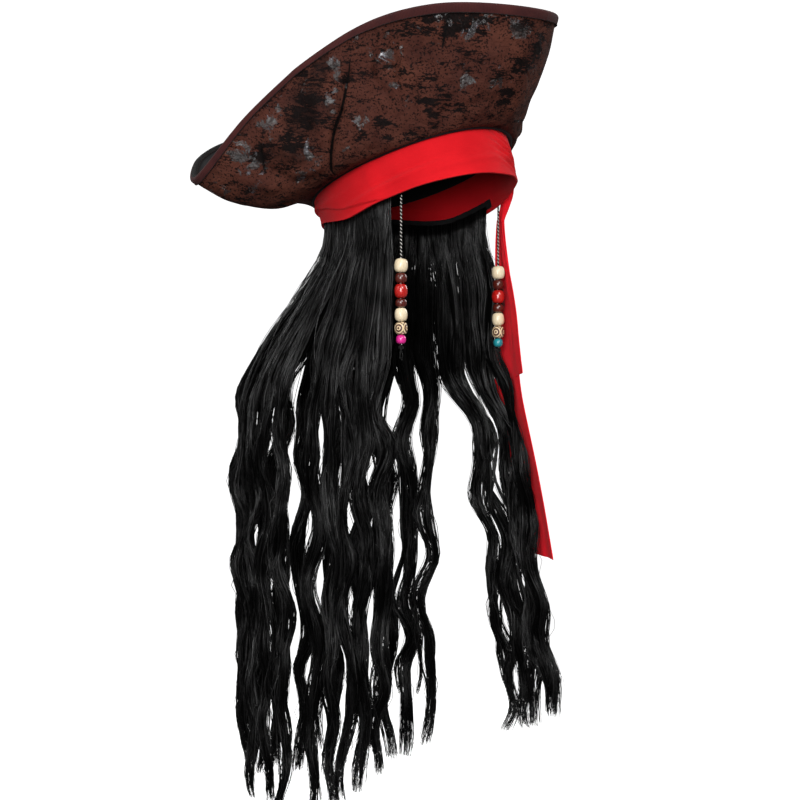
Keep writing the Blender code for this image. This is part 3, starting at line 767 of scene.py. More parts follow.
LEATHER = leather_material()
BINDING = binding_material("binding_tape", (0.036, 0.0085, 0.0090), (0.064, 0.0165, 0.0150))
# the same tape in near-black, for its inside leg: painted shade
BINDING_PAINTED_SHADE = binding_material("binding_tape_painted_shade", (0.002, 0.0015, 0.0015),
                                 (0.004, 0.003, 0.003))
RED = red_material("bandana_cloth", (0.59, 0.0060, 0.0115), (0.72, 0.0090, 0.0155), 0.42)
# a paler copy of the bandana's red with fainter twill, for the tails' inner faces and the twisted
# ends: painted light
RED_PAINTED_LIGHT = red_material("bandana_cloth_painted_light", (0.88, 0.011, 0.022), (0.96, 0.014, 0.028), 0.15)
BLACK = black_cloth_material("black_lining", 0.45)
# black piping put in the gap above the bandana: painted shadow
SHADOW_WELT = black_cloth_material("black_welt_painted_shadow", 0.35)
DARK_THREAD = thread_material("dark_thread", (0.006, 0.004, 0.004), (0.022, 0.014, 0.013))
CORD_DARK = thread_material("cord_black_ply", (0.004, 0.004, 0.004), (0.02, 0.02, 0.02))
# a pale ply that stands for the black cord's glints: painted highlight
CORD_GLINT = thread_material("cord_glint_ply", (0.40, 0.38, 0.35), (0.75, 0.72, 0.68))
CREAM = wood_bead_material("cream_wood", (0.74, 0.58, 0.37), (0.90, 0.79, 0.57), 0.30, 0.35)
BROWN = wood_bead_material("brown_lacquer", (0.048, 0.0055, 0.0035), (0.135, 0.017, 0.009), 0.24,
                           0.5)
RED_BEAD = wood_bead_material("red_lacquer", (0.34, 0.006, 0.005), (0.62, 0.018, 0.012), 0.18,
                              0.7)
PINK = wood_bead_material("pink_paint", (0.60, 0.012, 0.20), (0.86, 0.035, 0.36), 0.28, 0.4)
TEAL = wood_bead_material("teal_paint", (0.008, 0.19, 0.23), (0.02, 0.34, 0.38), 0.28, 0.4)
HAIR_SHADES = hair_materials()


# ---------------------------------------------------------------- camera
AZIMUTH = math.radians(-50)
CAMERA_RIGHT = np.array((math.cos(AZIMUTH), math.sin(AZIMUTH), 0))
CAMERA_BACK = np.array((math.sin(AZIMUTH), -math.cos(AZIMUTH), 0))
CAMERA_DISTANCE = 2.0
CAMERA_SHIFT = -0.0102
CAMERA_HEIGHT = -0.212


def make_camera():
    """A level camera off the wearer's right cheek."""
    data = bpy.data.cameras.new("camera")
    data.lens, data.sensor_width = 96.8, 36
    camera = bpy.data.objects.new("camera", data)
    bpy.context.scene.collection.objects.link(camera)
    place = CAMERA_BACK * CAMERA_DISTANCE + CAMERA_RIGHT * CAMERA_SHIFT + UP * CAMERA_HEIGHT
    camera.location = tuple(place)
    camera.rotation_euler = (math.radians(90), 0, AZIMUTH)
    bpy.context.scene.camera = camera


# ---------------------------------------------------------------- bead strings
def string_top(side):
    """Where a cord leaves the band: side is -1 on the wearer's right, 1 on the left."""
    inside = ring_point(side * CORD_ANGLE, -3.5 * MM, band_bottom(CORD_ANGLE) - 1.5 * MM)
    return to_world(inside)


def bead_outline(width, height, roundness):
    """Radius and height down a bead's side, from bore to bore, with soft shoulders."""
    radius, half = width / 2 * MM, height / 2 * MM
    angle = np.linspace(math.pi / 2, -math.pi / 2, 25)
    power = 0.42 + 0.5 * (1 - roundness)
    out = radius * np.cos(angle) ** power
    up = half * np.sign(np.sin(angle)) * np.abs(np.sin(angle)) ** 0.86
    keep = out > BEAD_BORE * 1.35
    out, up = out[keep], up[keep]
    top = up[0]
    rim = [(BEAD_BORE, top * 0.93), (BEAD_BORE * 1.12, top * 0.985), (BEAD_BORE * 1.32, top)]
    low = [(r, -z) for r, z in reversed(rim)]
    return np.array(rim + list(zip(out, up)) + low + [(BEAD_BORE * 0.98, 0)])


def make_bead(name, centre, width, height, roundness, material, body, slot):
    """A turned bead with a bored hole, very slightly out of round."""
    outline = bead_outline(width, height, roundness)
    turns = 36
    angle = TAU * np.arange(turns) / turns
    phase = RNG.uniform(0, TAU, 2)
    uneven = 1 + 0.012 * np.cos(2 * angle + phase[0]) + 0.006 * np.cos(3 * angle + phase[1])
    r, z = outline[:, :1], outline[:, 1:]
    lean = Matrix.Rotation(RNG.uniform(-0.045, 0.045), 3, "X") @ Matrix.Rotation(
        RNG.uniform(-0.045, 0.045), 3, "Y")
    points = np.stack([r * np.cos(angle) * uneven, r * np.sin(angle) * uneven,
                       z + 0 * angle], -1) @ np.array(lean) + centre
    made = build(name, points, ring_quads(len(outline), turns), material, body, slot, sharp=70)
    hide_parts(name.replace("_look", ""))
    return made


def make_cord(label, side, top, bottom):
    """Three plies laid tightly round each other, two black and one pale; the pale ply is a painted
    highlight for the black cord's glints.
    """
    count = 680
    z = np.linspace(top[2], bottom, count)
    turn = (top[2] - z) / CORD_TWIST * TAU
    parts = []
    for k in range(3):
        angle = turn + k * TAU / 3
        path = np.stack([top[0] + PLY_OFFSET * np.cos(angle), top[1] + PLY_OFFSET * np.sin(angle),
                         z], -1)
        parts.append(tube(path, PLY_RADIUS, 6))
    points, quads, tris, number = join(parts)
    made = build(f"bead_cord_{label}_look", points, quads, [CORD_DARK, CORD_GLINT],
                 f"string_{label}", "bead_cord", tris=tris, slots=number // 2, tidy=False)
    line = np.stack([0 * z[::20] + top[0], 0 * z[::20] + top[1], z[::20]], -1)
    line = np.concatenate([line, [[top[0], top[1], bottom]]])
    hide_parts(f"bead_cord_{label}")
    return made, line


def make_end_knot(label, place):
    """An overhand knot with two short free ends, each with a small knot of its own."""
    turn = np.linspace(0, TAU, 70)
    knot = np.stack([np.sin(turn) + 2 * np.sin(2 * turn), np.cos(turn) - 2 * np.cos(2 * turn),
                     -1.1 * np.sin(3 * turn)], -1) * 0.78 * MM
    parts = [tube(place + knot[:, [0, 2, 1]], 0.72 * MM, 8)]
    for way, drop in ((-1, 9.0), (1, 10.5)):
        path = smooth_path([(0, 0, -1.0), (way * 0.9, 0.2, -3.2), (way * 1.7, -0.3, -6.0),
                            (way * 1.3, 0.2, -drop)], 16) * MM
        parts.append(tube(place + path, np.linspace(0.55, 0.42, 16) * MM, 6))
        ball = np.linspace(0, 1, 7)
        line = path[-1] + np.stack([0 * ball, 0 * ball, (0.9 - 1.9 * ball) * MM], -1)
        parts.append(tube(place + line, 0.95 * MM * np.sin(math.pi * (0.06 + 0.88 * ball)), 8))
    points, quads, tris, _ = join(parts)
    made = build(f"bead_knot_{label}_look", points, quads, CORD_DARK, f"string_{label}",
                 "bead_cord", tris=tris, tidy=False)
    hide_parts(f"bead_knot_{label}")
    return made


def make_strings():
    """A string of beads at each temple, each bead on its own body."""
    cream, brown = (CREAM, "cream_bead"), (BROWN, "brown_bead")
    looks = {"cream_top": cream, "brown_upper": brown, "red": (RED_BEAD, "red_bead"),
             "brown_lower": brown, "cream_lower": cream}
    ends = {"right": (PINK, "pink_bead"), "left": (TEAL, "teal_bead")}
    for side, label in ((-1, "right"), (1, "left")):
        top = string_top(side)
        height = BEAD_STACK_TOP
        for name, width, tall, roundness in BEADS:
            centre = np.array((top[0], top[1], height - tall / 2 * MM))
            body = f"stack_{label}" if name == "end" else f"bead_{name}_{label}"
            look = looks.get(name, ends[label])
            if name == "etched":
                look = (etched_material(f"etched_wood_{label}", centre, width / 2 * MM),
                        "etched_bead")
            make_bead(f"bead_{name}_{label}_look", centre, width, tall, roundness,
                                    look[0], body, look[1])
            height -= tall * MM + BEAD_GAP
        bottom = height - 0.2 * MM
        cord, line = make_cord(label, side, top, bottom)
        place = np.array((top[0], top[1], height - 0.5 * MM - 2.6 * MM))
        make_end_knot(label, place)


# ---------------------------------------------------------------- brim
def spread_spots(spots, degrees, share):
    """A mask that is 1 in the middle of each spot and fades at its radius."""
    mask = 0
    for angle, height, radius in spots:
        gap = np.hypot((signed(degrees) - angle) * DEGREE, (share - height) * PROFILE) / MM
        mask = np.maximum(mask, smoothstep((1.35 * radius - gap) / (0.9 * radius)))
    return mask


def crease_shadow_mask(degrees, share):
    """A mask that is 1 along the sharp creases, where black shadow is painted."""
    mask = 0
    for *ends, width in CREASE_SHADOW_LINES:
        gap = crease_gap(degrees, share, ends)[1]
        mask = np.maximum(mask, np.clip(1.5 - gap / width, 0, 1))
    return mask


def brim_grid(turn, rows):
    return ring_angles(turn)[None, :], np.linspace(0, 1, rows)[:, None]


def make_brim():
    """The leather with its buckram, and the black facing on the crown's side."""
    degrees, share = brim_grid(640, 76)
    front = brim_surface(degrees, share)
    back = brim_surface(degrees, share, LEATHER_DEPTH)
    leather = solid_sheet("brim_leather", front, back, True, LEATHER, body="root",
                          slot="leather")
    # shade marks where shade is painted into the leather, crease where black crease shadow is
    # painted
    masks = {"shiny": spread_spots(SHINY_SPOTS, degrees, share),
             "dark": spread_spots(DARK_SPOTS, degrees, share),
             "shade": spread_spots(PAINTED_SHADE_SPOTS, degrees, share),
             "crease": crease_shadow_mask(degrees, share)}
    for name, values in masks.items():
        values = values.ravel()
        layer = leather.data.attributes.new(name, "FLOAT", "POINT")
        layer.data.foreach_set("value", np.concatenate([values, values]).astype(np.float32))
    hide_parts("brim_outer", "brim_core")

    degrees, share = brim_grid(360, 46)
    low, high = LEATHER_DEPTH + 0.3 * MM, BRIM_STACK
    soft = 0.35 * MM * waves(degrees * DEGREE, share * PROFILE, 11, 6, 0.03, 0.010)
    soft = soft * smoothstep(share / 0.2) * smoothstep((1 - share) / 0.15)
    front = brim_surface(degrees, share, low)
    back = brim_surface(degrees, share, high + soft + 0.2 * MM)
    uv = np.stack([degrees * DEGREE + 0 * share, share * PROFILE + 0 * degrees], -1)
    facing = solid_sheet("brim_facing", front, back, True, BLACK, uv=uv, wrap=360 * DEGREE,
                         body="root", slot="black_cloth")
    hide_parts("brim_inner")


def edge_lines(degrees, depth, count):
    """Shares of the brim's profile that lie between depth and 0 from its free edge."""
    share = np.linspace(0.8, 1, 120)[:, None]
    points = brim_point(degrees[None, :], share)
    gap = np.linalg.norm(points - points[-1:], axis=2)
    turn = np.abs(signed(degrees))
    wanted = np.linspace(depth, 0, count)[:, None] * (1 - 0.35 * smoothstep((turn - 40) / 70))
    return np.stack([np.interp(wanted[:, k], gap[::-1, k], share[::-1, 0]) for k in
                     range(len(degrees))], 1)


def make_binding():
    """Bias tape folded over the edge, with a stitch line near each of its legs' ends; its inside
    leg is a near-black copy of the tape, as painted shade.
    """
    turn = 720
    leg, fold = 6, 8                   # rows of each leg, and steps round the fold
    degrees = ring_angles(turn)
    shares = edge_lines(degrees, BINDING_DEPTH, leg)
    inner_shares = edge_lines(degrees, BINDING_INSIDE, leg)
    edge = to_world(brim_point(degrees, 1.0))
    walked = np.append(0, np.cumsum(np.linalg.norm(np.diff(edge, axis=0), axis=1)))
    total = walked[-1] + np.linalg.norm(edge[0] - edge[-1])
    normal = to_world(brim_normal(degrees, np.ones(turn)))
    out = edge - brim_surface(degrees, shares[0])
    out = out / np.linalg.norm(out, axis=1, keepdims=True)
    pucker = 0.22 * MM * np.sin(walked / 0.0042 * TAU) + 0.25 * MM * waves(walked, 0 * walked, 21)

    def section(off, end):
        """One face of the tape: down the outside, round the fold and down the inside."""
        reach = BRIM_STACK / 2 + off
        rows, lengths = [], []

        def puff(k):
            return normal * (off + 0.35 * MM * math.sin(math.pi * k / leg) + pucker * 0.4)[:, None]

        for k in range(leg):
            rows.append(brim_surface(degrees, shares[k], 0) - puff(k))
            lengths.append(-BINDING_DEPTH * (1 - k / (leg - 1)))
        for k in range(1, fold):
            angle = math.pi * k / fold
            step = normal * (BRIM_STACK / 2 - reach * math.cos(angle))
            rows.append(edge + step + out * (end * math.sin(angle)))
            lengths.append(reach * angle)
        for k in reversed(range(leg)):
            rows.append(brim_surface(degrees, inner_shares[k], BRIM_STACK) + puff(k))
            lengths.append(reach * math.pi + BINDING_INSIDE * (1 - k / (leg - 1)))
        return np.stack(rows), np.array(lengths)

    outer, lengths = section(1.45 * MM, 2.2 * MM)
    inner, _ = section(0.65 * MM, 1.4 * MM)
    uv = np.stack([np.broadcast_to(walked, outer.shape[:2]),
                   np.broadcast_to(lengths[:, None], outer.shape[:2])], -1)
    rows = len(lengths)
    # the inside leg takes the near-black copy of the tape: painted shade
    inside = np.repeat(np.arange(rows - 1) >= rows // 2, turn).astype(int)
    faces = np.concatenate([inside, inside, np.zeros(turn, int), np.ones(turn, int)])
    tape = solid_sheet("brim_binding_tape", outer, inner, True, [BINDING, BINDING_PAINTED_SHADE], uv=uv,
                       wrap=total, body="root", slot="binding", slots=faces)
    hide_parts("brim_binding")

    pitch, length = 4.4 * MM, 3.9 * MM
    pairs, ups = [], []
    for k in range(int(total / pitch)):
        middle = (k + 0.5) * pitch
        for row, sign in ((0, -1), (-2, 1)):
            pairs.append([on_ring(middle + way * length, walked, outer[row], total)
                          for way in (-0.5, 0.5)])
            ups.append(sign * on_ring(middle, walked, normal, total))
    points, quads, tris, _ = stitches(pairs, length, 0.52 * MM, 0.20 * MM, ups)
    build("brim_binding_stitches", points, quads, DARK_THREAD, "root", "binding", tris=tris,
          tidy=False)


def make_shadow_welt():
    """A black piped seam that closes the gap between the brim's root and the bandana; its black
    fills that gap as painted shadow.
    """
    turn, rows = 360, 12
    degrees = ring_angles(turn)
    middle = ring_point(degrees, 2.5 * MM) + UP * (seam_height(degrees) + 0.4 * MM)[:, None]
    side = ring_point(degrees, 1.0) - ring_point(degrees, 0.0)
    grid = []
    for k in range(rows):
        angle = TAU * k / rows
        grid.append(to_world(middle + side * 1.9 * MM * math.cos(angle)
                             + UP * 1.4 * MM * math.sin(angle)))
    uv = np.stack(np.meshgrid(np.arange(rows) * 0.001, degrees * HEAD_DEGREE, indexing="ij"), -1)
    build("brim_shadow_welt", np.stack(grid), ring_quads(rows, turn), SHADOW_WELT, "root", "black_cloth",
          uv=uv[..., ::-1], wrap=360 * HEAD_DEGREE)


# ---------------------------------------------------------------- crown
def make_crown():
    """The crown's wall and top, both of leather, and the stitches that join them."""
    degrees = ring_angles(288)
    up = np.linspace(0, 1, 34)[:, None]
    x = degrees[None, :] * HEAD_DEGREE
    taper = -CROWN_TAPER * smoothstep((up - 0.30) / 0.95) * 1.12
    dent = 1.3 * MM * waves(x, up * CROWN_HEIGHT, 31, 6, 0.08, 0.02)
    dent = dent * smoothstep(up / 0.3) * smoothstep((1.02 - up) / 0.12)
    offset = np.clip(taper, -CROWN_TAPER, 0) + 0.3 * MM + dent + 0 * x
    height = up * CROWN_HEIGHT + seam_height(degrees)[None, :] * (1 - smoothstep(up / 0.6))
    spread = np.broadcast_to(degrees, offset.shape)
    wall = to_world(ring_point(spread, offset + CROWN_WALL, height))
    back = to_world(ring_point(spread, offset, height))
    side = solid_sheet("crown_wall", wall, back, True, LEATHER, body="root", slot="leather")
    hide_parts("crown_side")

    share = np.linspace(1, 0.02, 26)[:, None]
    rim = ring_point(degrees, -CROWN_TAPER + 2.6 * MM)
    hill = CROWN_DOME * (1 - share**2) - 1.6 * MM * smoothstep((share - 0.93) / 0.07)
    soft = 1.5 * MM * waves(rim[None, :, 0] * share, rim[None, :, 1] * share, 37, 6, 0.09, 0.02)
    soft = soft * smoothstep((1 - share) / 0.2)
    height = CROWN_HEIGHT + 1.2 * MM + hill + soft
    flat = rim[None] * share[..., None]
    top, under = (to_world(flat + UP * (height + lift)[..., None]) for lift in (CROWN_WALL, 0))
    points, quads, tris = cupped_sheet(top, under)
    tip = build("crown_top", points, quads, LEATHER, "root", "leather", tris=tris)
    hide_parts("crown_tip")

    pairs, ups = [], []
    count, reach = 120, 0.36           # stitches round the crown, and a half stitch's share
    pitch = 360 / count
    for k in range(count):
        middle = (k + 0.5) * pitch
        for ring, normal in ((wall[-3], outwards(middle)), (top[2], UP)):
            pairs.append([on_ring((middle + way * pitch) % 360, degrees, ring, 360)
                          for way in (-reach, reach)])
            ups.append(to_world(normal))
    points, quads, tris, _ = stitches(pairs, 3.0 * MM, 0.34 * MM, 0.3 * MM, ups)
    build("crown_stitches", points, quads, DARK_THREAD, "root", "leather", tris=tris,
          tidy=False)


def make_lining():
    """The gathered lining inside the crown, the sweatband, and the tape that holds the hair."""
    turn = 240
    degrees = ring_angles(turn)
    up = np.linspace(0, 1, 22)[:, None]
    stops, offsets, heights = np.array(LINING_PROFILE).T
    offset = np.interp(up, stops, offsets) * MM + 0 * degrees
    height = np.interp(up, stops, heights) * MM + 0 * degrees
    pleat = np.abs(np.sin(np.radians(degrees) * 22)) ** 0.7
    pleat = (pleat + 0.3 * np.sin(np.radians(degrees) * 9)) * 1.5 * MM * smoothstep(up / 0.9)
    spread = np.broadcast_to(degrees, offset.shape)
    gathered = height - pleat * 0.3
    front = to_world(ring_point(spread, offset - 0.3 * MM - pleat, gathered))
    back = to_world(ring_point(spread, offset - 1.1 * MM - pleat, gathered - 0.8 * MM * up))
    uv = np.stack([spread * HEAD_DEGREE, height], -1).reshape(-1, 2)
    uv = np.concatenate([uv, uv, [[0, 0.1], [0, 0.1]]])          # and the two middles
    points, quads, tris = cupped_sheet(front, back)
    lining = build("crown_lining_cloth", points, quads, BLACK, "root", "black_cloth", uv=uv,
                   wrap=360 * HEAD_DEGREE, tris=tris)
    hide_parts("crown_lining")

    height = np.linspace(-3, 20, 10)[:, None] * MM
    belly = 0.35 * MM * np.sin(np.linspace(0, math.pi, 10))[:, None]
    wobble = 0.25 * MM * np.sin(np.radians(degrees) * 17)[None, :]
    spread = np.broadcast_to(degrees, (10, turn))
    height = height + 0 * wobble
    front = to_world(ring_point(spread, -2.3 * MM, height))
    back = to_world(ring_point(spread, -3.5 * MM - belly + wobble, height))
    uv = np.stack([spread * HEAD_DEGREE, height], -1)
    band = solid_sheet("sweatband_tape", front, back, True, BLACK, uv=uv, wrap=360 * HEAD_DEGREE,
                       body="root", slot="black_cloth")
    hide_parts("sweatband")

    degrees = np.linspace(CORD_ANGLE + 6, 360 - CORD_ANGLE - 6, 160)
    height = band_bottom(degrees)[None, :] + np.linspace(2, 10, 6)[:, None] * MM
    spread = np.broadcast_to(degrees, height.shape)
    ripple = 0.2 * MM * np.sin(np.radians(spread) * 60)
    front = to_world(ring_point(spread, -2.3 * MM, height))
    back = to_world(ring_point(spread, -3.5 * MM + ripple, height))
    uv = np.stack([spread * HEAD_DEGREE, height], -1)
    tape = solid_sheet("hair_weft_tape", front, back, False, BLACK, uv=uv, body="root",
                       slot="weft_tape")
    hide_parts("hair_weft")


# ---------------------------------------------------------------- bandana
def make_band():
    """The folded bandana round the head, pulled into soft slanting pleats."""
    degrees = ring_angles(720)
    side = signed(degrees)[None, :]
    up = np.linspace(0, 1, 64)[:, None]
    low = band_bottom(degrees)[None, :]
    x = side * HEAD_DEGREE
    edge = 0.7 * MM * waves(x, 0 * side, 41, 5, 0.12, 0.04)
    height = low + edge + up * (BAND_HIDDEN - low - edge)
    slant = height - low

    def pleat(off, depth, reach, hollow, beside):
        """A ridge with a hollow beside it: off is the distance from it in its own widths."""
        return depth * MM * reach * (np.exp(-off**2) - hollow * np.exp(-(off - beside) ** 2))

    pleats = 0
    for start, rise, depth, width in SOFT_PLEATS:
        off = (slant - 14 * MM - rise * (x - start * HEAD_DEGREE)) / (width * MM)
        pleats = pleats + pleat(off, depth, np.exp(-((side - start) / 38) ** 2), 0.6, 1.6)
    for base, rise, depth in FRONT_PLEATS:
        off = (slant - base * MM - rise * (x - 6 * HEAD_DEGREE)) / (1.9 * MM)
        pleats = pleats + pleat(off, depth, np.exp(-((side - 15) / 13) ** 2), 0.7, 1.7)
    # behind the right temple the cloth lies double; the upper layer's edge climbs backwards
    wrap = smoothstep((-side - 74) / 10) * smoothstep((side + 200) / 30)
    line = np.clip((-side - 78) * 0.32 * MM, 0, 13 * MM)
    step = 2.0 * MM * wrap * smoothstep((slant - line) / (1.0 * MM))
    # the lower edge is turned in, and drawn in where the ends are tied
    roll = 1.2 * MM * np.exp(-(slant / (2.2 * MM)) ** 2)
    bulge = 0.5 * MM * np.sin(np.pi * up)
    drawn_in = 3.5 * MM * smoothstep((0.6 - up) / 0.5) * np.exp(-((side - 45) / 24) ** 2)
    fade = smoothstep((1 - up) / 0.25)
    offset = (pleats + step + bulge + roll * 0.5 - drawn_in) * fade + 0 * x
    spread = np.broadcast_to(degrees, offset.shape)
    front = to_world(ring_point(spread, offset, height))
    back = to_world(ring_point(spread, np.minimum(offset - 1.6 * MM, -1.6 * MM), height))
    uv = np.stack([np.broadcast_to(x + 180 * HEAD_DEGREE, offset.shape), height], -1)
    band = solid_sheet("bandana_wrap", front, back, True, RED, uv=uv, wrap=360 * HEAD_DEGREE,
                       body="root", slot="red_cloth")
    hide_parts("bandana_band")


def make_knot():
    """The bandana's ends: a fold off the band that narrows into the neck of the tails."""
    path = [to_world(ring_point(55.0, 2.0 * MM, 3 * MM)),
            to_world(ring_point(56.0, 2.5 * MM, -12 * MM)),
            TAIL_TOP + UP * 26 * MM - TAIL_AWAY * 0.5 * MM,
            TAIL_TOP + UP * 13 * MM - TAIL_AWAY * 1.0 * MM + TAIL_ALONG * 4 * MM,
            TAIL_TOP + UP * 1 * MM - TAIL_AWAY * NECK_IN + TAIL_ALONG * NECK_BACK,
            TAIL_TOP - UP * 8 * MM - TAIL_AWAY * NECK_IN + TAIL_ALONG * NECK_BACK]
    rows, columns = 90, 64
    path = smooth_path(path, rows)
    share = np.linspace(0, 1, rows)
    stops = (0, 0.25, 0.45, 0.65, 0.86, 1)
    broad = softened(np.interp(share, stops, (4, 7, 9, 7.4, 5.4, 3.0)) * MM)
    thick = softened(np.interp(share, stops, (2.2, 3.4, 4.4, 3.4, 2.3, 0.8)) * MM)
    angle = TAU * np.arange(columns) / columns
    turn = 2.2 * share[:, None] ** 2
    pleat = np.abs(np.sin(angle[None, :] * 3.5 + 0.6 + turn * 1.5)) ** 0.55
    small = np.sin(angle[None, :] * 9 + share[:, None] * 7)
    reach = 1 + 0.30 * (pleat - 0.7) + 0.05 * small
    ring = (TAIL_ALONG * (np.cos(angle) * broad[:, None] * reach)[..., None]
            + TAIL_AWAY * (np.sin(angle) * thick[:, None] * reach)[..., None])
    points = np.concatenate([(path[:, None] + ring).reshape(-1, 3), path[:1], path[-1:]])
    # the twisted ends are in the paler copy of the red: painted light
    knot = build("bandana_twist", points, grid_quads(rows, columns, True), RED_PAINTED_LIGHT, "root",
                 "red_cloth", uv=points[:, [0, 2]], tris=end_caps(rows, columns))
    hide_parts("bandana_knot")


def make_tail(name, top, stations, cut, phase, body, gather):
    """A hanging tail: gathered at its top, opening into soft folds towards its cut end."""
    rows, columns = 90, 49
    drops, halves, shifts, leans = np.array(stations, float).T
    total = drops[-1]
    drop = np.linspace(0, total, rows)
    half, shift, lean = (softened(np.interp(drop, drops, v)) for v in (halves, shifts, leans))
    u, d = np.meshgrid(np.linspace(-1, 1, columns), drop)
    open_share = smoothstep(d / total * 1.15)
    ripples = gather * (1 - 0.72 * open_share) * np.sin(u * 5.2 + phase + d * 0.006)
    ripples += 1.3 * open_share * np.sin(u * 2.6 - 0.7 + d * 0.011 + phase)
    ripples += 0.25 * np.sin(u * 9 + d * 0.021)
    ripples *= smoothstep(d / 12 + 0.35)
    curl = -1.6 * np.clip(np.abs(u) - 0.86, 0, 1) / 0.14 * (0.4 + 0.6 * open_share)
    hang = d + cut * u * smoothstep((d - 0.6 * total) / (0.4 * total))
    hem = 0.45 * np.sin(u * 11 + phase) * smoothstep((d - total + 14) / 14)
    gathered = 1 - smoothstep(drop / 100)
    lean = lean - NECK_IN / MM * gathered
    shift = shift + NECK_BACK / MM * gathered
    x = shift[:, None] + half[:, None] * u + 0.8 * np.sin(d * 0.045 + phase) * (0.3 + 0.7 * u**2)
    away = lean[:, None] + ripples + curl + hem
    middle = (x[..., None] * TAIL_ALONG + away[..., None] * TAIL_AWAY
              - hang[..., None] * UP) * MM + top
    front, back = middle + TAIL_AWAY * TAIL_CLOTH, middle - TAIL_AWAY * TAIL_CLOTH
    uv = np.stack([u * 25 * MM, -hang * MM], -1)
    faces = (rows - 1) * (columns - 1)
    edges = 2 * (rows - 1) + 2 * (columns - 1)
    # the tail's inner face and its edges take the paler copy of the red: painted light
    under = np.concatenate([np.zeros(faces, int), np.ones(faces + edges, int)])
    return solid_sheet(name, front, back, False, [RED, RED_PAINTED_LIGHT], uv=uv, body=body,
                       slot="red_cloth", slots=under)


def make_tails():
    """The short tail hangs next to the hair, and the long one lies over it."""
    short = make_tail("bandana_tail_short_cloth", TAIL_TOP - TAIL_AWAY * 1.5 * MM, SHORT_TAIL,
                      5.0, 0.3, "tail_short", 0.4)
    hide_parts("bandana_tail_short")
    long = make_tail("bandana_tail_long_cloth", TAIL_TOP + TAIL_AWAY * 1.5 * MM, LONG_TAIL,
                     -3.0, 0.3, "tail_long", 0.4)
    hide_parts("bandana_tail_long")


# ---------------------------------------------------------------- hair
FIBRE = 0.34 * MM                  # radius
HAIR_POINTS = 50                   # along each fibre
HAIR_SEED = 700                    # and the lock's number
LOCK_WAVE = (0.095, 0.140)         # shortest and longest in m
STRAND_WAVE = (0.070, 0.110)
FIBRES = {"right": 190, "back_right": 215, "back": 225, "back_left": 190, "left": 180}
SHADE_SHARES = (0.36, 0.36, 0.21, 0.07)    # how much of the hair has each shade
# locks that end higher than their neighbours, as a share of their length
SHORT_LOCKS = {"hair_back_right_5": 0.885, "hair_back_right_4": 0.94}
# each lock's strands: share of its fibres, place across the lock, share of its length
STRANDS = ((0.74, -0.06, 1.0), (0.26, 0.55, 0.90))
STRAND_SIZES = (1.0, 0.62)
# small waves: shortest and longest in m, size in mm
CLUMP_DRIFT = ((0.040, 0.080, 0.7), (0.090, 0.160, 0.9))
FIBRE_DRIFT = ((0.024, 0.040, 0.18), (0.050, 0.090, 0.35))
CORE_SIDES = 8


def forward_step(drop):
    """How far the left hair leans forward along the cheek."""
    return 0.030 * smoothstep((drop - 0.13) / 0.07) + 0.13 * np.maximum(drop - 0.2, 0)


def wavy(draw, low, high, size):
    """A wave whose length and size drift on the way down, as a function of the drop."""
    length, phase = draw.uniform(low, high), draw.uniform(0, TAU)
    first, second = draw.uniform(0, TAU, 2)

    def move(drop):
        drift = 0.9 * np.sin(drop / 0.21 * TAU + first)
        swell = 0.75 + 0.45 * np.sin(drop / 0.27 * TAU + second)
        return size * swell * np.sin(drop / length * TAU + phase + drift)

    return move


def behind_tails(lines):
    """Fibres pressed back wherever a bandana tail hangs outside them."""
    off = (lines - TAIL_TOP) / MM
    drop, along, away = -off[..., 2], off @ TAIL_ALONG, off @ TAIL_AWAY
    drops, halves, shifts, _ = np.array(LONG_TAIL, float).T
    half, shift = np.interp(drop, drops, halves), np.interp(drop, drops, shifts)
    limit = np.interp(drop, (0, 100, 150, 175, 220, 280, 318),
                      (-8.5, -4.5, -3.0, 0.5, 11.0, 22.0, 29.0))
    inside = smoothstep((half + 13 - np.abs(along - shift)) / 8)
    inside = inside * smoothstep(drop / 15) * smoothstep((350 - drop) / 25)
    return lines - TAIL_AWAY * (np.maximum(away - limit, 0) * inside * MM)[..., None]


def strand_middle(draw, lock, sway, number, place, drop, total):
    """The strand's middle at each fibre's drops, without the fall, and its waves' growth."""
    top, side, out, reach, forward, gap = lock
    # it flares out over the shoulders, and the lock's strands part on the way down
    lean, part = smoothstep(drop / FLARE_HEIGHT), smoothstep((drop - 0.03) / 0.30)
    stray = place * gap * 0.62 + draw.uniform(-2.5, 2.5) * MM
    depth = draw.uniform(-8, 2) * MM if number else draw.uniform(-4, 3) * MM
    centre = top + out * (reach * lean + depth * part)[..., None] + side * (stray * part)[..., None]
    grown = smoothstep((drop - 0.035) / 0.18)
    own = wavy(draw, *STRAND_WAVE, 2.4 * MM), wavy(draw, *STRAND_WAVE, 2.0 * MM)
    end = np.clip((drop - total + 0.07) / 0.07, 0, 1.2) ** 2     # the last 70 mm turn aside
    across = (sway[0](drop) + own[0](drop)) * grown + draw.uniform(-8, 8) * MM * end
    deep = (sway[1](drop) + own[1](drop)) * grown - draw.uniform(0, 5) * MM * end
    centre = centre + side * across[..., None] + out * deep[..., None]
    if forward:
        near = smoothstep((drop - 0.005) / 0.07) * (1 - 0.9 * smoothstep((drop - 0.14) / 0.10))
        ahead = forward_step(drop) + forward * 9 * MM * near
        centre = centre + LEFT_LEAN * ahead[..., None]
    return centre, grown


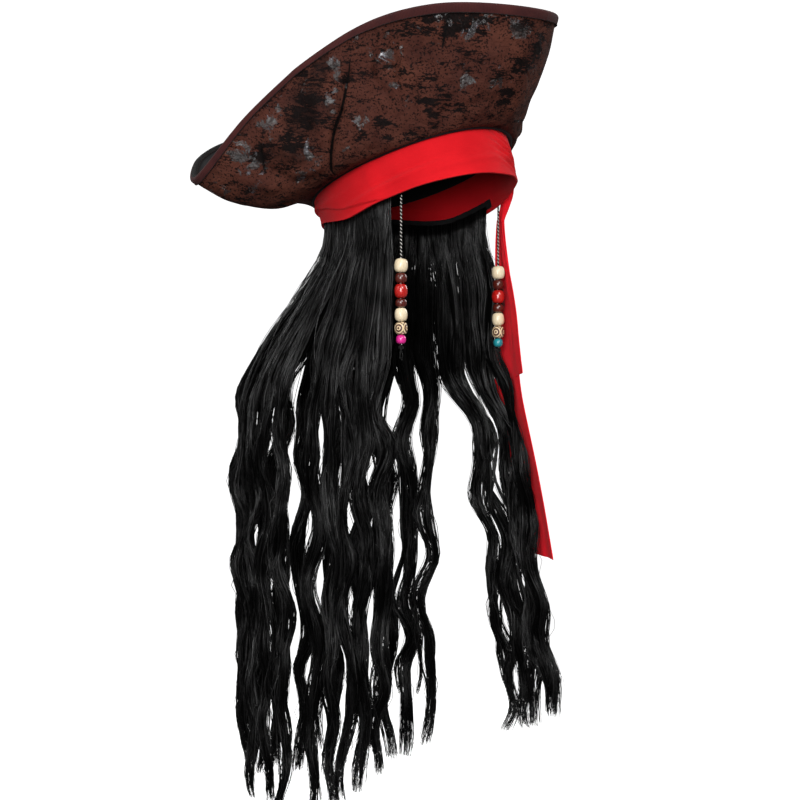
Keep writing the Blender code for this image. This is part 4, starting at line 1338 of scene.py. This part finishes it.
def strand_section(draw, number, gap, drop, total, clumps, member):
    """Each fibre's place across and deep in the strand: thin under the band, a rope below it."""
    fibres = len(member)
    angle, radius = draw.uniform(0, TAU, clumps), np.sqrt(draw.random(clumps))
    jitter = draw.normal(0, 0.13, (2, fibres))
    a = (radius * np.cos(angle))[member] + jitter[0]
    b = (radius * np.sin(angle))[member] + jitter[1]
    tight = smoothstep((drop / total - 0.80) / 0.25)
    a, b = a[:, None] * (1 - 0.10 * tight), b[:, None] * (1 - 0.15 * tight)
    turn = draw.uniform(-1, 1) * drop / 0.16 * smoothstep((drop - 0.08) / 0.2)
    a, b = a * np.cos(turn) - b * np.sin(turn), a * np.sin(turn) + b * np.cos(turn)
    wide = np.clip(0.66 * gap / MM, 10.5, 18)
    broad = np.interp(drop, (0, 0.07, 0.12, 0.18, 0.26, 0.60),
                      (8.0, wide, 0.92 * wide, 0.64 * wide, 6.8, 6.2))
    thick = np.interp(drop, (0, 0.08, 0.25, 0.36, 0.60), (1.6, 3.2, 4.8, 5.4, 5.0))
    pinch = 1 + 0.14 * np.sin(drop / draw.uniform(0.07, 0.12) * TAU + draw.uniform(0, TAU))
    size = STRAND_SIZES[number] * pinch * MM
    return a * broad * size, b * thick * size


def wander(draw, drop, grown, ways, sizes, count, member, strength=1.0):
    """Small waves that each clump or fibre has of its own, as a shift for each point."""
    total = 0
    for low, high, size in sizes:
        for way in ways:
            length = draw.uniform(low, high, count)[member][:, None]
            phase = draw.uniform(0, TAU, count)[member][:, None]
            move = size * MM * strength * np.sin(drop / length * TAU + phase) * grown
            total = total + way * move[..., None]
    return total


def strand(draw, lock, sway, number, place, fibres, total):
    """Centre lines of one strand's fibres, as an array of fibre, point and x, y, z."""
    degrees, reach, forward, low_angle, high_angle, gap = lock
    fray = draw.random(fibres)
    ends = total * (1 - 0.025 * fray - 0.08 * fray**10)          # a few end well short
    drop = np.linspace(0, 1, HAIR_POINTS)[None, :] ** 0.95 * ends[:, None]
    own = low_angle + (high_angle - low_angle) * draw.random(fibres)
    root = to_world(ring_point(own, HAIR_ROOT + draw.uniform(-0.5, 0.3, fibres) * MM,
                               band_bottom(own) + ROOT_LIFT))
    out = outwards(np.float64(degrees))
    side = np.array((-out[1], out[0], 0))
    top = to_world(ring_point(degrees, -LOCK_RADIUS + 0.6 * MM,
                              band_bottom(degrees) - LOCK_DROP))
    centre, grown = strand_middle(draw, (top, side, out, reach, forward, gap), sway, number,
                                  place, drop, total)
    clumps = max(5, fibres // 9)
    member = draw.integers(0, clumps, fibres)
    across, deep = strand_section(draw, number, gap, drop, total, clumps, member)
    centre = centre + side * across[..., None] + out * deep[..., None]
    # clumps drift a little by themselves, and loose fibres wander further
    ways = (side, out)
    centre = centre + wander(draw, drop, grown, ways, CLUMP_DRIFT, clumps, member)
    loose = np.where(draw.random(fibres) < 0.05, draw.uniform(4, 10, fibres), 1.0)[:, None]
    centre = centre + wander(draw, drop, grown, ways, FIBRE_DRIFT, fibres, np.arange(fibres),
                             loose)
    # a few fibres bow out where the hair leaves the band
    bowed = np.where(draw.random(fibres) < 0.03, draw.uniform(3, 11, fibres), 0.0)[:, None] * MM
    bow = np.sin(np.clip((drop - 0.004) / draw.uniform(0.07, 0.15, fibres)[:, None], 0, 1)
                 * math.pi)
    centre = centre + (out * 0.8 + side * draw.uniform(-0.6, 0.6)) * (bowed * bow)[..., None]
    # the roots lie inside the band
    share = smoothstep((drop - 0.006) / 0.05)[..., None]
    lines = root[:, None, :] * (1 - share) + centre * share - UP * drop[..., None]
    lines = behind_tails(lines) if forward else lines
    shade = draw.choice(4, clumps, p=SHADE_SHARES)[member]
    own_shade = draw.choice(4, fibres, p=SHADE_SHARES)
    return lines, np.where(draw.random(fibres) < 0.6, shade, own_shade), side, out


def strand_core(lines, side, out):
    """A dark rope inside a strand, so that its fibres don't show the room behind them."""
    inner = lines[:, :-4]
    middle = np.median(inner, axis=0)
    swell = np.interp(np.arange(len(middle)), (0, 8, 20, 26), (1.3, 1.75, 1.75, 1.3))
    across = np.median(np.abs((inner - middle) @ side), axis=0) * swell
    deep = np.median(np.abs((inner - middle) @ out), axis=0) * 1.25
    ends = np.interp(np.arange(len(middle)), (0, 2, len(middle) - 8, len(middle) - 1),
                     (0.5, 1, 1, 0.25))
    angle = TAU * np.arange(CORE_SIDES) / CORE_SIDES
    ring = (side * (np.cos(angle) * (across * ends)[:, None])[..., None]
            + out * (np.sin(angle) * (deep * ends)[:, None])[..., None])
    points = (middle[:, None] + ring).reshape(-1, 3)
    rows = len(middle)
    caps = []
    for row, order in ((0, 1), (rows - 1, -1)):
        corner = row * CORE_SIDES + np.arange(CORE_SIDES)[::order]
        caps += [(corner[0], corner[k + 1], corner[k]) for k in range(1, CORE_SIDES - 1)]
    return points, grid_quads(rows, CORE_SIDES, True)[:, ::-1], np.array(caps)


def fibre_mesh(lines, draw):
    """Three-sided tubes round many centre lines at once, tapered to their tips."""
    fibres, points = lines.shape[:2]
    t = np.linspace(0, 1, points)
    taper = np.interp(t, (0, 0.05, 0.90, 1), (0.8, 1, 0.95, 0.35))
    radius = FIBRE * taper[None, :] * draw.uniform(0.8, 1.2, fibres)[:, None]
    angle = draw.uniform(0, TAU, fibres)[:, None] + TAU * np.arange(3)[None, :] / 3
    ring = np.stack([np.cos(angle), np.sin(angle), 0 * angle], -1)
    verts = lines[:, :, None, :] + ring[:, None, :, :] * radius[:, :, None, None]
    base = (np.arange(fibres) * points * 3)[:, None, None]
    row = (np.arange(points - 1) * 3)[None, :, None]
    k = np.arange(3)[None, None, :]
    a, b = base + row + k, base + row + (k + 1) % 3
    quads = np.stack([b, a, a + 3, b + 3], -1).reshape(-1, 4)
    first = base[:, 0, 0]
    last = first + (points - 1) * 3
    tris = np.concatenate([np.stack([first, first + 1, first + 2], -1),
                           np.stack([last + 2, last + 1, last], -1)])
    return verts.reshape(-1, 3), quads, tris


def make_hair():
    """Each lock is a piece of its own; its fibres curve out from their roots under the band."""
    spans = [(row, row[1] + (row[2] - row[1]) * k / (row[3] - 1), k) for row in HAIR
             for k in range(row[3])]
    angles = [span[1] for span in spans]
    edges = ([angles[0] + 4.0] + [(a + b) / 2 for a, b in zip(angles, angles[1:])]
             + [angles[-1] - 4.0])
    for number, (row, degrees, k) in enumerate(spans):
        name, first, last, count, reach_a, reach_b, length_a, length_b = row
        share = k / (count - 1)
        reach = (reach_a + (reach_b - reach_a) * share) * MM
        node = f"hair_{name}_{k + 1}"
        length = (length_a + (length_b - length_a) * share) * SHORT_LOCKS.get(node, 1.0) * MM
        draw = np.random.default_rng(HAIR_SEED + number)
        gap = abs(last - first) / (count - 1) * (1.56 * MM + math.radians(1) * reach)
        forward = share + 0.05 if name == "left" else 0
        lock = (degrees, reach, forward, edges[number + 1] - 1.2, edges[number] + 1.2, gap)
        sway = wavy(draw, *LOCK_WAVE, 5.6 * MM), wavy(draw, *LOCK_WAVE, 4.0 * MM)
        parts, quad_slots, tri_slots = [], [], []
        for i, (part, place, longest) in enumerate(STRANDS):
            lines, shade, side, out = strand(draw, lock, sway, i, place,
                                             int(FIBRES[name] * part),
                                             length * longest * draw.uniform(0.97, 1.0))
            core = strand_core(lines, side, out)
            parts += [fibre_mesh(lines, draw), core]
            quad_slots += [np.repeat(shade, (HAIR_POINTS - 1) * 3), np.zeros(len(core[1]), int)]
            tri_slots += [np.tile(shade, 2), np.zeros(len(core[2]), int)]
        points, quads, tris, _ = join(parts)
        slots = np.concatenate(quad_slots + tri_slots)
        made = build(f"{node}_fibres", points, quads, HAIR_SHADES, None, "hair", tris=tris,
                     slots=slots, tidy=False)
        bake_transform(made)
        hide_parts(node)


# ---------------------------------------------------------------- stage
def make_stage():
    """A white floor that curves up into walls all round, and soft lamps."""
    m = Nodes("studio_white", (0.93, 0.93, 0.93), 0.9, Specular_IOR_Level=0.1)
    m.finish(Emission_Color=(1, 1, 1, 1), Emission_Strength=0.80)
    floor = -0.78
    profile = [(0.001, 0.0), (2.6, 0.0), (3.4, 0.0)]
    for k in range(1, 13):
        angle = math.pi / 2 * k / 12
        profile.append((3.4 + 1.6 * math.sin(angle), 1.6 * (1 - math.cos(angle))))
    profile.append((5.0, 5.5))
    turns = 72
    angle = TAU * np.arange(turns) / turns
    grid = [np.stack([r * np.cos(angle), r * np.sin(angle), floor + z + 0 * angle], -1)
            for r, z in profile]
    stage = build("studio", np.stack(grid), grid_quads(len(profile), turns, True), m.material,
                  tidy=False)
    stage.visible_diffuse = stage.visible_glossy = False    # it doesn't light the object

    def lamp(name, azimuth, elevation, distance, size, power):
        """A soft rectangle that faces the hat."""
        data = bpy.data.lights.new(name, "AREA")
        data.shape, data.size, data.size_y = "RECTANGLE", size[0], size[1]
        data.energy = power
        made = bpy.data.objects.new(name, data)
        bpy.context.scene.collection.objects.link(made)
        a, e = math.radians(azimuth), math.radians(elevation)
        way = Vector((math.sin(a) * math.cos(e), -math.cos(a) * math.cos(e), math.sin(e)))
        made.location = way * distance + Vector((0, 0, -0.15))
        made.rotation_euler = way.to_track_quat("Z", "Y").to_euler()

    lamp("key", -28, 32, 2.6, (1.1, 1.1), 33)
    lamp("front", -58, 8, 3.0, (1.2, 1.2), 61)
    lamp("fill", -108, 26, 2.8, (0.9, 1.3), 9)
    lamp("back_left", -165, 35, 2.6, (1.0, 1.4), 26)
    lamp("back_right", 75, 25, 2.8, (1.2, 1.4), 26)
    lamp("top", -50, 84, 2.4, (1.2, 1.2), 14)

    world = bpy.data.worlds.new("studio_world")
    world.use_nodes = True
    background = world.node_tree.nodes["Background"].inputs
    background["Color"].default_value = (1, 1, 1, 1)
    background["Strength"].default_value = 0.16
    bpy.context.scene.world = world
    bpy.context.scene.view_settings.view_transform = "Standard"


make_camera()
make_strings()
make_brim()
make_binding()
make_shadow_welt()
make_crown()
make_lining()
make_band()
make_knot()
make_tails()
make_hair()
make_stage()
